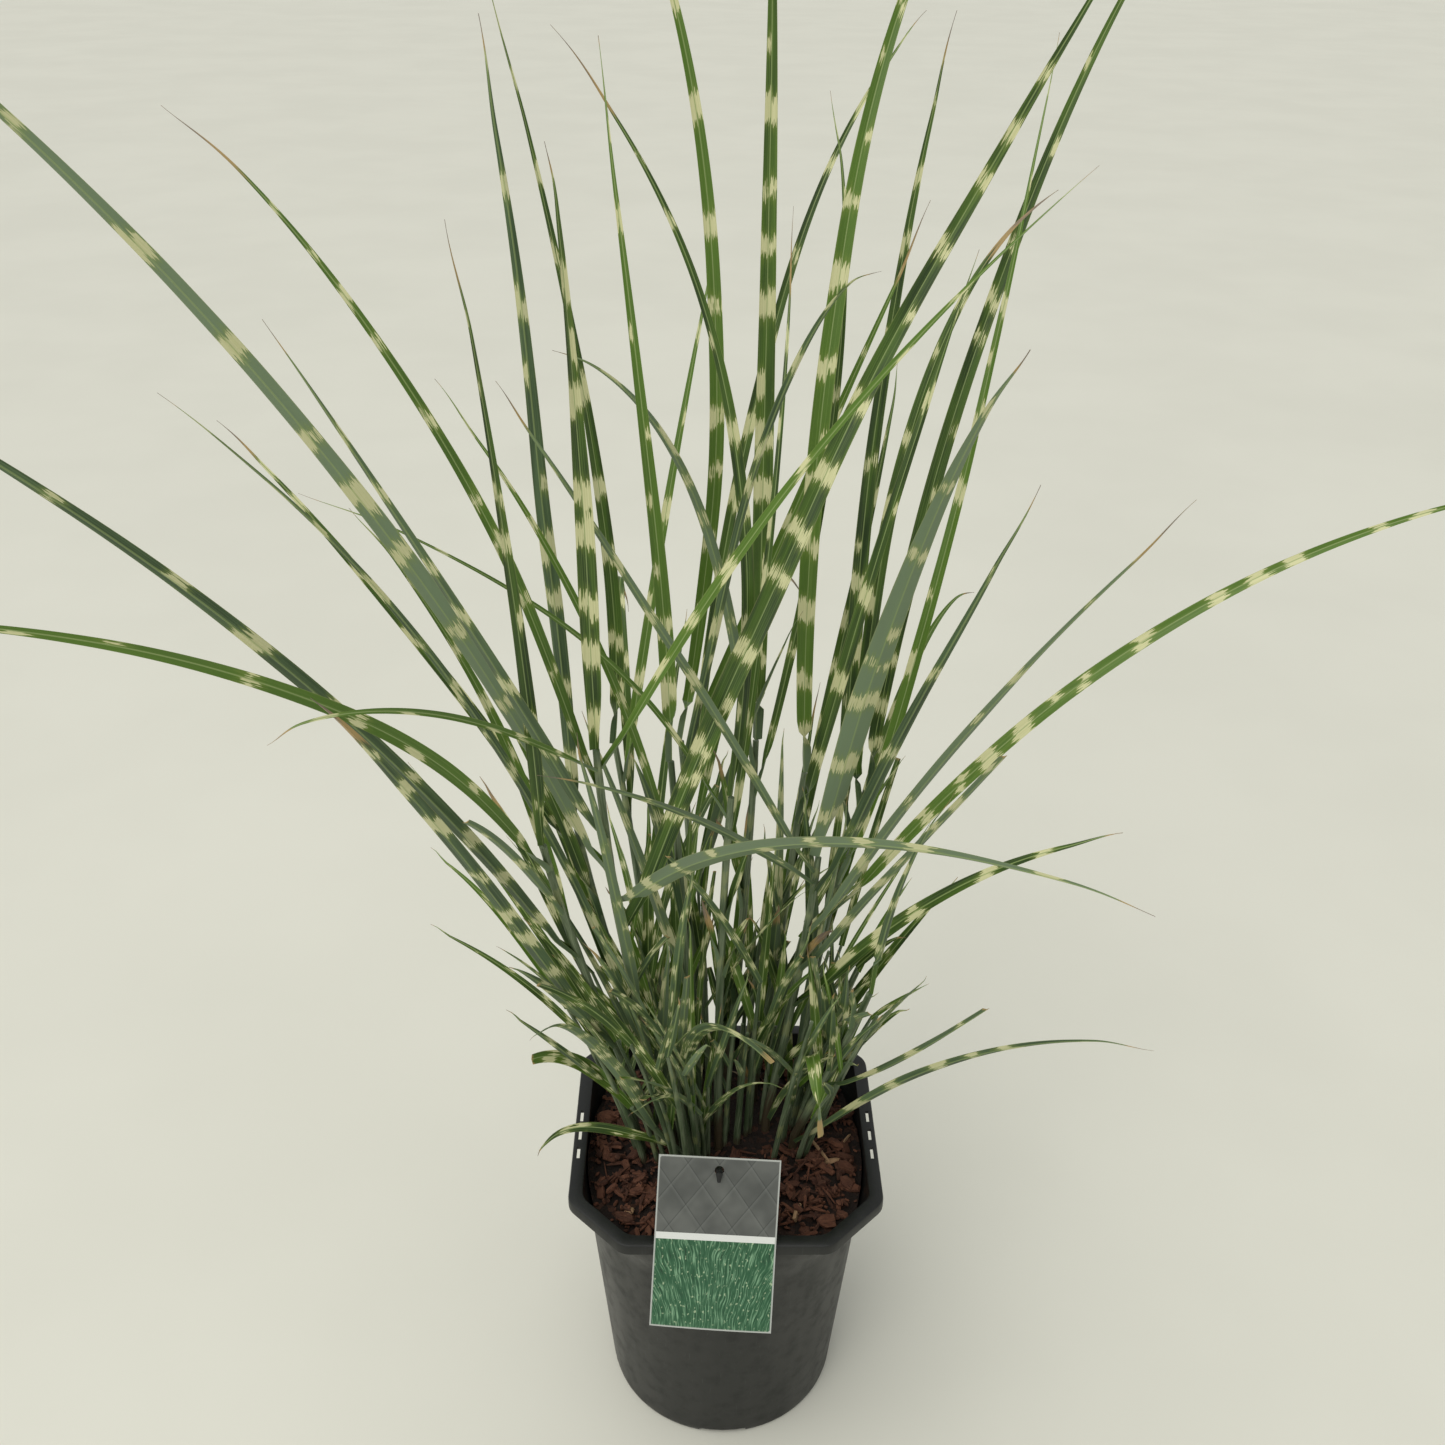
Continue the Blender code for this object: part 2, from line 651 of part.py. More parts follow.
def card_frame():
    """The card's own axes: origin on the lip that it leans on, X across, Y up the card, Z outwards."""
    lip_edge = Vector((CARD_SHIFT, -RIM_WIDTH / 2, POT_HEIGHT - MM))
    lean = Matrix.Rotation(math.pi / 2 - CARD_LEAN, 4, "X")
    clear = Matrix.Translation((0, 0, CARD_THICKNESS / 2 + GAP))
    return Matrix.Translation(lip_edge) @ lean @ clear @ Matrix.Rotation(CARD_TILT, 4, "Z")


def build_card(parts):
    """The label card with its round hanging hole."""
    curve = bpy.data.curves.new("label_card", "CURVE")
    curve.dimensions = "2D"
    curve.fill_mode = "BOTH"
    curve.extrude = CARD_THICKNESS / 2
    half = CARD_SIZE[0] / 2
    top = CARD_ABOVE_RIM
    bottom = CARD_ABOVE_RIM - CARD_SIZE[1]
    sheet = ((-half, bottom), (half, bottom), (half, top), (-half, top))
    radius = 3.2 * MM
    hole = [(radius * math.cos(math.radians(30 * k)), top - HOLE_BELOW_TOP
             - radius * math.sin(math.radians(30 * k))) for k in range(12)]
    for outline in (sheet, hole):
        spline = curve.splines.new("POLY")
        spline.use_cyclic_u = True
        spline.points.add(len(outline) - 1)
        for place, (x, y) in zip(spline.points, outline):
            place.co = (x, y, 0, 1)
    card = add_object("label_card", curve, parts, "label_card")
    card.matrix_world = card_frame()
    return card


def build_peg(parts):
    """The peg: a strip from the mulch, up behind the card and out through its hole."""
    frame = card_frame()
    hole = frame @ Vector((0, CARD_ABOVE_RIM - HOLE_BELOW_TOP, 0))
    outward = (frame.to_3x3() @ Vector((0, 0, 1))).normalized()
    down = (frame.to_3x3() @ Vector((0, -1, 0))).normalized()
    foot = Vector((hole.x, hole.y + 16 * MM, MULCH_HEIGHT + GAP))
    route = [
        foot,
        foot + Vector((0, 0, 40 * MM)),
        hole - outward * 4 * MM - down * MM,
        hole,
        hole + outward * 3 * MM + down * MM,
        hole + outward * 3.5 * MM + down * 7 * MM,
    ]
    radii = [1.3 * MM] * 5 + [0.7 * MM]
    return round_object("label_peg", route, radii, parts, "label_peg")


def main():
    """Builds the potted plant."""
    for leftover in list(bpy.data.objects):
        bpy.data.objects.remove(leftover)
    parts = new_collection("potted_miscanthus")
    guides = new_collection("guides")
    build_pot(parts, guides)
    build_mix(parts)
    build_mulch(parts)
    for letter in CULMS:
        build_culm(letter, parts, guides)
    for side in SHOOTS:
        build_shoot(side, parts, guides)
    build_card(parts)
    build_peg(parts)


main()
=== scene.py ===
import logging
import math
import random
from dataclasses import dataclass, field
from typing import Callable, Sequence

import bmesh
import bpy
from mathutils import Matrix, Vector, noise


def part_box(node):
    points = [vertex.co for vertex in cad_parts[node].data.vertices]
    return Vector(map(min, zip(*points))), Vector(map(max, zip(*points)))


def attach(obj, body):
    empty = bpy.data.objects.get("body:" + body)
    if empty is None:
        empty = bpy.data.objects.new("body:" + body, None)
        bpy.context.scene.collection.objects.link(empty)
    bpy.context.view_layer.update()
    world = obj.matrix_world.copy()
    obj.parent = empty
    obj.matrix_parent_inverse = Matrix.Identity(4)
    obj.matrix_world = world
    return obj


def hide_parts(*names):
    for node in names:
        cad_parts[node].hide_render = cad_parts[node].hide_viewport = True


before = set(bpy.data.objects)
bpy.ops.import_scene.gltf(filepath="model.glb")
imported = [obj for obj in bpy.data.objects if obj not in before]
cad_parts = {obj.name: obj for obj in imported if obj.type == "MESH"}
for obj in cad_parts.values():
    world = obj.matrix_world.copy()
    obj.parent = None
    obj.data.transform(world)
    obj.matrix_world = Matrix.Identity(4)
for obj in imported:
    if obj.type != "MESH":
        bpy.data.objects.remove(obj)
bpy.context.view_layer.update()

LOG = logging.getLogger("potted_miscanthus")
MM = 0.001
CM = 0.01

Colour = tuple[float, float, float, float]
Place = tuple[float, float, float]
Leaf = tuple[float, Place, Place, float, float, bool]


# ------------------------------------------------------------------ the planting plan

PLANT_TURN = math.radians(-2.5)  # how the clump is turned in the pot
CROWN_TOP = 212 * MM
FOOT_RISE = 12 * MM              # a stem leaves the crown straight up for this far
GAP = 0.3 * MM
STANDOFF = 0.38                  # gap between culm and blade, as a share of the blade's width
LIGHT = Vector((0, -0.9, 0.4))   # the side that the blades turn their faces to
LIGHT_PULL = 1.7                 # how strongly they turn to it, against lying flat
WIDEST = 0.25                    # where along a blade it is widest
CUT_SHARE = 0.6                  # how much of its taper a cut blade has run through

# culm: place on the crown, middle and top, in centimetres
CULMS: dict[str, tuple[tuple[float, float], Place, Place]] = {
    "a": ((-5.0, 0.0), (-9, -4, 40), (-11, -7, 53)),
    "b": ((-3.5, -1.0), (-6.5, -2, 39), (-8, -4, 58)),
    "c": ((-2.5, 1.5), (-3, 2, 37), (-4, 3, 53)),
    "d": ((-0.5, 0.0), (-0.5, 1, 38), (0, 2, 51)),
    "e": ((3.0, 2.0), (5, 3, 36), (6, 4, 45)),
    "f": ((2.0, 5.0), (3.5, 7, 34), (5, 10, 48)),
    "g": ((0.0, 6.5), (1, 9, 38), (1.5, 11, 50)),
    "h": ((-5.0, 3.5), (-8.5, 5, 35), (-11, 7, 45)),
    "i": ((5.0, 0.0), (8, -1, 32), (9.5, -3, 39)),
    "j": ((-2.5, 7.5), (-3, 11, 36), (-4, 14, 48)),
    "k": ((5.0, 4.5), (7, 8, 36), (9.5, 11, 46)),
    "l": ((-5.0, 6.0), (-7, 12, 35), (-9, 15, 47)),
}

# leaf: how far up its culm it parts, middle, tip, widest in mm, turn in degrees, cut or not
LEAVES: dict[str, tuple[Leaf, ...]] = {
    "a": (
        (1.00, (-12, -7, 70), (-14, -6, 89), 9, 30, False),
        (0.93, (-21, -18, 69.5), (-40, -29, 78), 9, -20, False),
        (0.68, (-23, -16, 71), (-39, -27, 91), 10.5, 25, False),
        (0.45, (-15.5, -12, 57), (-19, -20, 70), 11.5, 10, False),
    ),
    "b": (
        (1.00, (-8.5, -3, 77), (-9.5, -2, 92), 11.5, 40, False),
        (0.97, (4, -3, 76), (17, -6, 92), 8, -30, False),
        (0.93, (-17, -2, 78), (-30, 2, 93), 8, 20, False),
        (0.86, (-13.5, -11.5, 70), (-20, -17, 87), 9, -15, False),
        (0.80, (-22, -10, 81), (-42, -18, 107), 13, 15, False),
        (0.75, (4, -22, 64), (17, -34, 70), 11.5, 0, False),
        (0.69, (7, 6, 76), (22, 12, 103), 15, 35, False),
        (0.52, (-15, -7, 63), (-26, -15, 83), 6.5, 20, False),
    ),
    "c": (
        (1.00, (-5, 4, 70), (-8, 6, 96), 10.5, -35, False),
    ),
    "d": (
        (1.00, (-1, 6, 77), (-11, 10, 96), 9, 25, False),
        (0.95, (-9, 0, 63), (-23, -6, 75), 5, 10, False),
        (0.86, (2, 8, 66), (3, 14, 86), 6.5, -30, False),
    ),
    "e": (
        (1.00, (10, 1, 66), (14, -8, 84), 19, 10, False),
        (0.94, (-5, -1, 66), (-13, -3, 80), 6.5, 25, False),
        (0.86, (11, 3, 56), (17, 0, 74), 10.5, -25, False),
        (0.72, (15, -1, 59), (24, -8, 76), 9, 15, False),
        (0.60, (11, -1.5, 48.5), (16, -5, 59), 9, 20, True),
        (0.50, (14, 0, 45), (24, -4, 53), 10.5, -10, False),
    ),
    "f": (
        (1.00, (6, 13, 84), (13, 17, 108), 13, 30, False),
        (0.90, (9, 8, 66), (14, 12, 84), 10.5, -20, False),
    ),
    "g": (
        (1.00, (1.5, 14, 83), (1, 17, 109), 13, 25, False),
        (0.92, (-3, 10, 69), (-11, 7, 79), 8, 20, False),
    ),
    "h": (
        (1.00, (-12, 5, 74), (-14, 6, 97), 10.5, 35, False),
        (0.90, (-21.5, 5, 62), (-31.5, 6, 74.5), 8, -20, False),
    ),
    "i": (
        (1.00, (10.5, -4.5, 48), (12.5, -9, 59), 6.5, 20, False),
        (0.45, (11.5, -6, 36), (16, -10, 44), 8, 15, True),
        (0.20, (15, -7, 37), (25, -14, 45), 8, -10, False),
    ),
    "j": (
        (1.00, (-2, 15, 84), (-9, 17, 108), 10.5, -25, False),
        (0.84, (2, 17, 78), (11, 24, 96), 8, 20, False),
    ),
    "k": (
        (1.00, (16, 18, 79), (28, 26, 106), 11.5, 25, False),
        (0.94, (11, 11, 74), (19, 15, 87), 10.5, -20, False),
        (0.86, (9, 17, 72), (13, 24, 96), 11.5, 30, False),
        (0.72, (14, 12, 66), (19, 22, 95), 9, -15, False),
        (0.64, (28.5, 9, 61), (54, 13, 70), 10.5, 15, False),
    ),
    "l": (
        (1.00, (-10, 17, 68), (-16, 20, 99), 11.5, 30, False),
        (0.80, (-9, 21, 56), (-9, 27, 52), 9, 10, False),
    ),
}

# slender blades that are one piece with their culm
SLENDER: dict[str, tuple[Leaf, ...]] = {
    "a": ((0.80, (-12, -11, 55), (-13.5, -15, 60), 6.5, 10, True),
          (0.76, (-14.5, -3, 60), (-21, -3, 73), 8, 25, False)),
    "b": ((0.97, (-15, -16, 67), (-21, -22, 69), 5, 20, False),),
    "c": ((0.92, (2, 0, 77), (7, -6, 87), 6.5, 15, False),
          (0.78, (-9, 1, 64), (-17, 0, 79), 6.5, -15, False)),
    "e": ((0.90, (-2, -8, 56), (-9, -18, 65), 6.5, 10, False),),
    "f": ((0.78, (8, 15, 60), (11, 23, 74), 9, 25, False),),
    "g": ((0.85, (6, 13, 74), (5, 18, 92), 6.5, 20, False),),
    "h": ((0.66, (-15, 10, 50), (-21, 15, 58), 8, 15, False),),
    "j": ((0.96, (4.5, 15.5, 68), (11.5, 16, 86), 8, 15, False),
          (0.72, (1, 20, 56), (5, 26, 54), 8, 0, False)),
    "k": ((0.50, (12, 15, 52), (17, 20, 58), 8, 15, False),),
    "l": ((0.90, (-5, 18, 66), (-2, 22, 82), 8, -20, False),),
}

# young shoots: foot on the crown, top of the short stem, then their blades
SHOOTS: dict[str, tuple[tuple[float, float], Place, tuple[Leaf, ...]]] = {
    "left": ((-2.9, -2.0), (-6.5, -3, 28), (
        (1.00, (-10, -3, 32), (-13, -5, 34), 10.5, 0, True),
        (0.80, (-9, -7, 38), (-11, -13, 43), 10.5, 10, False),
        (0.60, (-10, -3, 26), (-13, -5, 25), 8, 0, False),
    )),
    "middle": ((-1.8, -0.8), (-3, -2.5, 31), (
        (1.00, (-1, -8, 40), (3, -11, 40), 10.5, 0, True),
        (0.80, (-4, -7, 33), (-6, -10, 34), 6.5, 10, False),
        (0.60, (1, -6, 33), (4, -9, 36), 6.5, 10, False),
    )),
    "right": ((5.5, 2.5), (7, 2, 28), (
        (1.00, (8, 1, 34), (10, 0, 38), 8, 0, False),
        (0.85, (6, -5, 35), (6.5, -9, 32), 10.5, 0, True),
        (0.60, (10, 3, 30), (13, 3, 33), 8, 15, False),
        (0.70, (3, 0, 31), (0, -2, 34), 6.5, 10, False),
    )),
}


# ------------------------------------------------------------------ small tools

def srgb(code: str) -> Colour:
    """Turns a hex sRGB colour into the linear colour that a shader takes.

    Args:
        code: The colour, such as "#3f5f2a".

    Returns:
        Red, green, blue and alpha, from 0 to 1, linear.
    """
    channels = [int(code[k:k + 2], 16) / 255 for k in (1, 3, 5)]
    linear = [c / 12.92 if c <= 0.04045 else ((c + 0.055) / 1.055) ** 2.4 for c in channels]
    return (linear[0], linear[1], linear[2], 1.0)


def smooth(low: float, high: float, value: float) -> float:
    """Goes gently from 0 at low to 1 at high."""
    share = min(max((value - low) / (high - low), 0.0), 1.0)
    return share * share * (3 - 2 * share)


def square_to(direction: Vector, along: Vector) -> Vector:
    """The part of a direction that is square to another, at a length of one."""
    return (direction - along * direction.dot(along)).normalized()


# ------------------------------------------------------------------ finishes

SMOOTHLY = {"interpolation_type": "SMOOTHSTEP"}


@dataclass(frozen=True)
class Row:
    """One node. A text among its inputs is a hex colour or the name of an earlier result."""

    name: str
    kind: str
    settings: dict[str, object] = field(default_factory=dict)
    inputs: dict[str | int, object] = field(default_factory=dict)
    output: int = 0

    def rows(self) -> list["Row"]:
        """The rows of this step, which is only itself."""
        return [self]


@dataclass(frozen=True)
class Pattern:
    """Noise over a place; its size is the length of one bump along each axis."""

    name: str
    size: Place
    detail: float = 2.0
    over: str = "place"

    def rows(self) -> list[Row]:
        """The stretched place and the noise over it."""
        scale = tuple(1 / length for length in self.size)
        stretched = self.name + "_place"
        return [Row(stretched, "VectorMath", {"operation": "MULTIPLY"}, {0: self.over, 1: scale}),
                Row(self.name, "TexNoise", {}, {"Vector": stretched, "Scale": 1.0,
                                                "Detail": self.detail, "Roughness": 0.6})]


@dataclass(frozen=True)
class Fray:
    """A value that a pattern moves up or down by at most an amount."""

    name: str
    value: str
    pattern: str
    amount: float

    def rows(self) -> list[Row]:
        """The pattern's push and the moved value."""
        push = self.name + "_push"
        return [Row(push, "MapRange", SMOOTHLY, {0: self.pattern, 1: 0.2, 2: 0.8,
                                                 3: -self.amount, 4: self.amount}),
                Row(self.name, "Math", {"operation": "ADD"}, {0: self.value, 1: push})]


@dataclass(frozen=True)
class Layer:
    """A colour that shows where a value runs over a span, from one share of it to another."""

    value: str
    colour: str
    span: tuple[float, float] | None = None
    shares: tuple[float, float] = (0.0, 1.0)


@dataclass(frozen=True)
class Stack:
    """Colours laid one over another, the last on top."""

    name: str
    base: str
    layers: tuple[Layer, ...]

    def rows(self) -> list[Row]:
        """For each layer its share, where it has a span, and its mix with what lies below."""
        made, below = [], self.base
        for k, layer in enumerate(self.layers, 1):
            share = layer.value
            if layer.span:
                share = f"{self.name}_share_{k}"
                made.append(Row(share, "MapRange", SMOOTHLY, {
                    0: layer.value, 1: layer.span[0], 2: layer.span[1],
                    3: layer.shares[0], 4: layer.shares[1]}))
            name = self.name if k == len(self.layers) else f"{self.name}_{k}"
            made.append(Row(name, "Mix", {"data_type": "RGBA"},
                            {0: share, 6: below, 7: layer.colour}, output=2))
            below = name
        return made


PAINTED = (
    Row("place", "Attribute", {"attribute_name": "place"}, output=1),
    Row("form", "Attribute", {"attribute_name": "form"}, output=1),
    Row("spot", "SeparateXYZ", {}, {0: "place"}),
    Row("state", "SeparateXYZ", {}, {0: "form"}),
)
IN_OBJECT = (Row("place", "TexCoord", output=3),)


@dataclass(frozen=True)
class Finish:
    """What every finish shares: a name and the Principled shader's plain values."""

    name: str
    roughness: float = 0.5
    ior: float = 1.45

    def steps(self) -> Sequence[Row | Pattern | Fray | Stack]:
        """What the material is made of, in order. Results named body, rough and bump are used."""
        raise NotImplementedError

    def make(self) -> bpy.types.Material:
        """Makes the finished material."""
        material = bpy.data.materials.new(self.name)
        material.use_nodes = True
        tree = material.node_tree
        shader = tree.nodes["Principled BSDF"]
        shader.inputs["Roughness"].default_value = self.roughness
        shader.inputs["IOR"].default_value = self.ior
        results: dict[str, bpy.types.NodeSocket] = {}
        for step in self.steps():
            for row in step.rows():
                add_node(tree, row, results)
        for name, socket in (("body", "Base Color"), ("rough", "Roughness"), ("bump", "Normal")):
            if name in results:
                tree.links.new(results[name], shader.inputs[socket])
        return material


def add_node(tree: bpy.types.NodeTree, row: Row, results: dict[str, bpy.types.NodeSocket]) -> None:
    """Adds one node with its settings and links, and keeps what comes out of it by name.

    Args:
        tree: The node tree of a material.
        row: The node.
        results: The sockets that may be named so far. The node's own are added to it.
    """
    made = tree.nodes.new("ShaderNode" + row.kind)
    for name, value in row.settings.items():
        setattr(made, name, value)
    for name, value in row.inputs.items():
        if not isinstance(value, str):
            made.inputs[name].default_value = value
        elif value.startswith("#"):
            made.inputs[name].default_value = srgb(value)
        else:
            tree.links.new(results[value], made.inputs[name])
    for socket in made.outputs:
        results[f"{row.name}.{socket.name}"] = socket
    results[row.name] = made.outputs[row.output]


@dataclass(frozen=True)
class LeafTissue(Finish):
    """A living grass leaf: fine veins along it, cream bands across it, a pale midrib, a dry tip.

    It reads metres to the nearest band's edge, dryness and distance from the midrib.
    """

    deep: str = "#263c12"
    fresh: str = "#44611a"
    vein: str = "#6f8a40"
    band: str = "#d5d4a4"
    bloom: str = "#587a22"
    rib_half: float = 0.32 * MM
    rib_share: float = 0.75

    def steps(self) -> Sequence[Row | Pattern | Fray | Stack]:
        """Veins, bands, midrib and dry tip."""
        rough = self.roughness
        return (
            *PAINTED,
            Row("across", "Math", {"operation": "ABSOLUTE"}, {0: "spot.Y"}),
            # Every leaf has its own cast, from its age and its wax: the odd part of its number.
            Row("own", "Math", {"operation": "FRACT"}, {0: "spot.Z"}),
            # Veins of a miscanthus leaf lie 0.6 to 0.9 mm apart and run its whole length.
            Pattern("streak", (14 * MM, 0.7 * MM, 1 / 31), 1.0),
            Pattern("line", (150 * MM, 0.6 * MM, 1 / 17), 0.0),
            Pattern("tone", (60 * MM, 6 * MM, 1 / 13), 1.0),
            # Each vein ends its part of a band up to 4 mm sooner or later than the next.
            Fray("edge", "state.X", "streak", 4 * MM),
            Fray("wither", "state.Y", "streak", 0.15),
            Stack("cream", self.band, (Layer("line", "#b0b273", (0.35, 0.7), (0.0, 0.3)),)),
            Stack("body", self.deep, (
                Layer("tone", self.fresh, (0.3, 0.7)),
                Layer("own", self.bloom, (0.35, 1.0), (0.0, 0.8)),
                Layer("line", self.vein, (0.5, 0.75), (0.0, 0.35)),
                Layer("edge", "#7e8f3c", (-1 * MM, 7 * MM), (0.45, 0.0)),
                Layer("edge", "cream", (-0.6 * MM, 0.6 * MM), (1.0, 0.0)),
                Layer("across", "#90a266", (self.rib_half * 0.6, self.rib_half * 1.4),
                      (self.rib_share, 0.0)),
                Layer("state.Z", "#9ca362", (0.88, 1.0), (0.0, 0.35)),
                Layer("wither", "#a88e5c", (0.35, 0.65)),
                Layer("wither", "#7c6f62", (0.75, 1.05)),
            )),
            Row("rough", "MapRange", SMOOTHLY, {0: "tone", 1: 0.2, 2: 0.8,
                                                3: rough - 0.07, 4: rough + 0.07}),
            Row("bump", "Bump", {}, {"Strength": 0.5, "Distance": 0.12 * MM, "Height": "line"}),
        )


@dataclass(frozen=True)
class SheathTissue(Finish):
    """The sheaths round a culm: ribbed, with a grey wax bloom, browned and dull at the foot.

    It reads metres to the nearest band's edge, how old the sheath is and its pale collar.
    """

    def steps(self) -> Sequence[Row | Pattern | Fray | Stack]:
        """Ribs, rubbed wax, faint bands, collars and the brown foot."""
        return (
            *PAINTED,
            # Ribs 0.8 mm apart round the sheath; the wax rubs off in patches of 1 to 2 cm.
            Pattern("rib", (120 * MM, 0.8 * MM, 1 / 23), 0.0),
            Pattern("streak", (12 * MM, 0.9 * MM, 1 / 31), 1.0),
            Pattern("wax", (35 * MM, 4 * MM, 1 / 7)),
            Fray("edge", "state.X", "streak", 4 * MM),
            Fray("old", "state.Y", "streak", 0.2),
            Stack("body", "#46583a", (
                Layer("wax", "#7a866a", (0.35, 0.65), (0.1, 0.9)),
                Layer("rib", "#2f4426", (0.5, 0.7), (0.0, 0.5)),
                Layer("edge", "#9ea36c", (-1 * MM, 1 * MM), (0.4, 0.0)),
                Layer("state.Z", "#8b966c"),
                Layer("old", "#47392a", (0.3, 0.9), (0.0, 0.9)),
            )),
            Row("bump", "Bump", {}, {"Strength": 0.6, "Distance": 0.15 * MM, "Height": "rib"}),
        )


@dataclass(frozen=True)
class BarkChip(Finish):
    """Broken pine bark: red-brown layers, a pale torn edge here and there, dull all over.

    It reads each chip's own shade and how much bare wood it shows.
    """

    roughness: float = 0.88

    def steps(self) -> Sequence[Row | Pattern | Fray | Stack]:
        """Fibres about half a millimetre across, in plates of cork some 2 mm thick."""
        return (
            *PAINTED,
            Pattern("fibre", (6 * MM, 0.6 * MM, 0.8 * MM), 3.0),
            Pattern("plate", (8 * MM, 4 * MM, 2 * MM)),
            Stack("body", "#24120b", (
                Layer("state.X", "#6f4733"),
                Layer("plate", "#4a281b", (0.4, 0.7), (0.0, 0.6)),
                Layer("fibre", "#7c5540", (0.52, 0.72), (0.0, 0.55)),
                Layer("fibre", "#1a0e09", (0.45, 0.28), (0.0, 0.8)),
                Layer("state.Y", "#b08f6c"),
            )),
            Row("bump", "Bump", {}, {"Strength": 0.9, "Distance": 0.5 * MM, "Height": "fibre"}),
        )


@dataclass(frozen=True)
class PottingSoil(Finish):
    """Moist peat and fine bark: almost black, crumbly, with brown crumbs and fibres in it."""

    roughness: float = 0.95

    def steps(self) -> Sequence[Row | Pattern | Fray | Stack]:
        """Crumbs of about 4 mm with finer dirt between them."""
        return (
            *IN_OBJECT,
            Row("crumb", "TexVoronoi", {}, {"Vector": "place", "Scale": 1 / (4 * MM)}),
            Pattern("fine", (2 * MM,) * 3, 4.0),
            Stack("body", "#1d140f", (
                Layer("crumb.Color", "#4b2f22", (0.6, 0.9), (0.0, 0.8)),
                Layer("fine", "#2c1e17", (0.5, 0.75), (0.0, 0.6)),
            )),
            Row("height", "Math", {"operation": "ADD"}, {0: "fine", 1: "crumb.Distance"}),
            Row("bump", "Bump", {}, {"Strength": 1.0, "Distance": 1.0 * MM, "Height": "height"}),
        )


@dataclass(frozen=True)
class PotPlastic(Finish):
    """Black polypropylene, injection moulded: clean, with a fine satin grain and faint scuffs."""

    roughness: float = 0.42
    ior: float = 1.49

    def steps(self) -> Sequence[Row | Pattern | Fray | Stack]:
        """The mould's grain of 0.4 mm, and scuffs up the wall from pots stacked in it."""
        rough = self.roughness
        return (
            *IN_OBJECT,
            Pattern("fine", (0.4 * MM,) * 3, 1.0),
            Pattern("flow", (30 * MM, 30 * MM, 160 * MM)),
            Pattern("scuff", (1.5 * MM, 1.5 * MM, 60 * MM)),
            Pattern("patch", (12 * MM,) * 3, 4.0),
            Stack("body", "#0f1110", (
                Layer("flow", "#171917", (0.3, 0.7)),
                Layer("scuff", "#464a48", (0.62, 0.8), (0.0, 0.35)),
            )),
            Row("dull", "MapRange", SMOOTHLY, {0: "patch", 1: 0.4, 2: 0.8, 3: 0.0, 4: 0.15}),
            Row("satin", "MapRange", SMOOTHLY, {0: "flow", 1: 0.3, 2: 0.7,
                                                3: rough - 0.05, 4: rough + 0.06}),
            Row("rough", "Math", {"operation": "ADD"}, {0: "dull", 1: "satin"}),
            Row("bump", "Bump", {}, {"Strength": 0.25, "Distance": 0.1 * MM, "Height": "fine"}),
        )


@dataclass(frozen=True)
class CardBack(Finish):
    """The unprinted back of the label: white polypropylene, slightly clouded."""

    roughness: float = 0.4

    def steps(self) -> Sequence[Row | Pattern | Fray | Stack]:
        """Clouds of about 3 cm."""
        return (*PAINTED, Pattern("cloud", (30 * MM,) * 3),
                Stack("body", "#d9dbd6", (Layer("cloud", "#c9ccc6", (0.3, 0.7), (0.0, 0.3)),)))


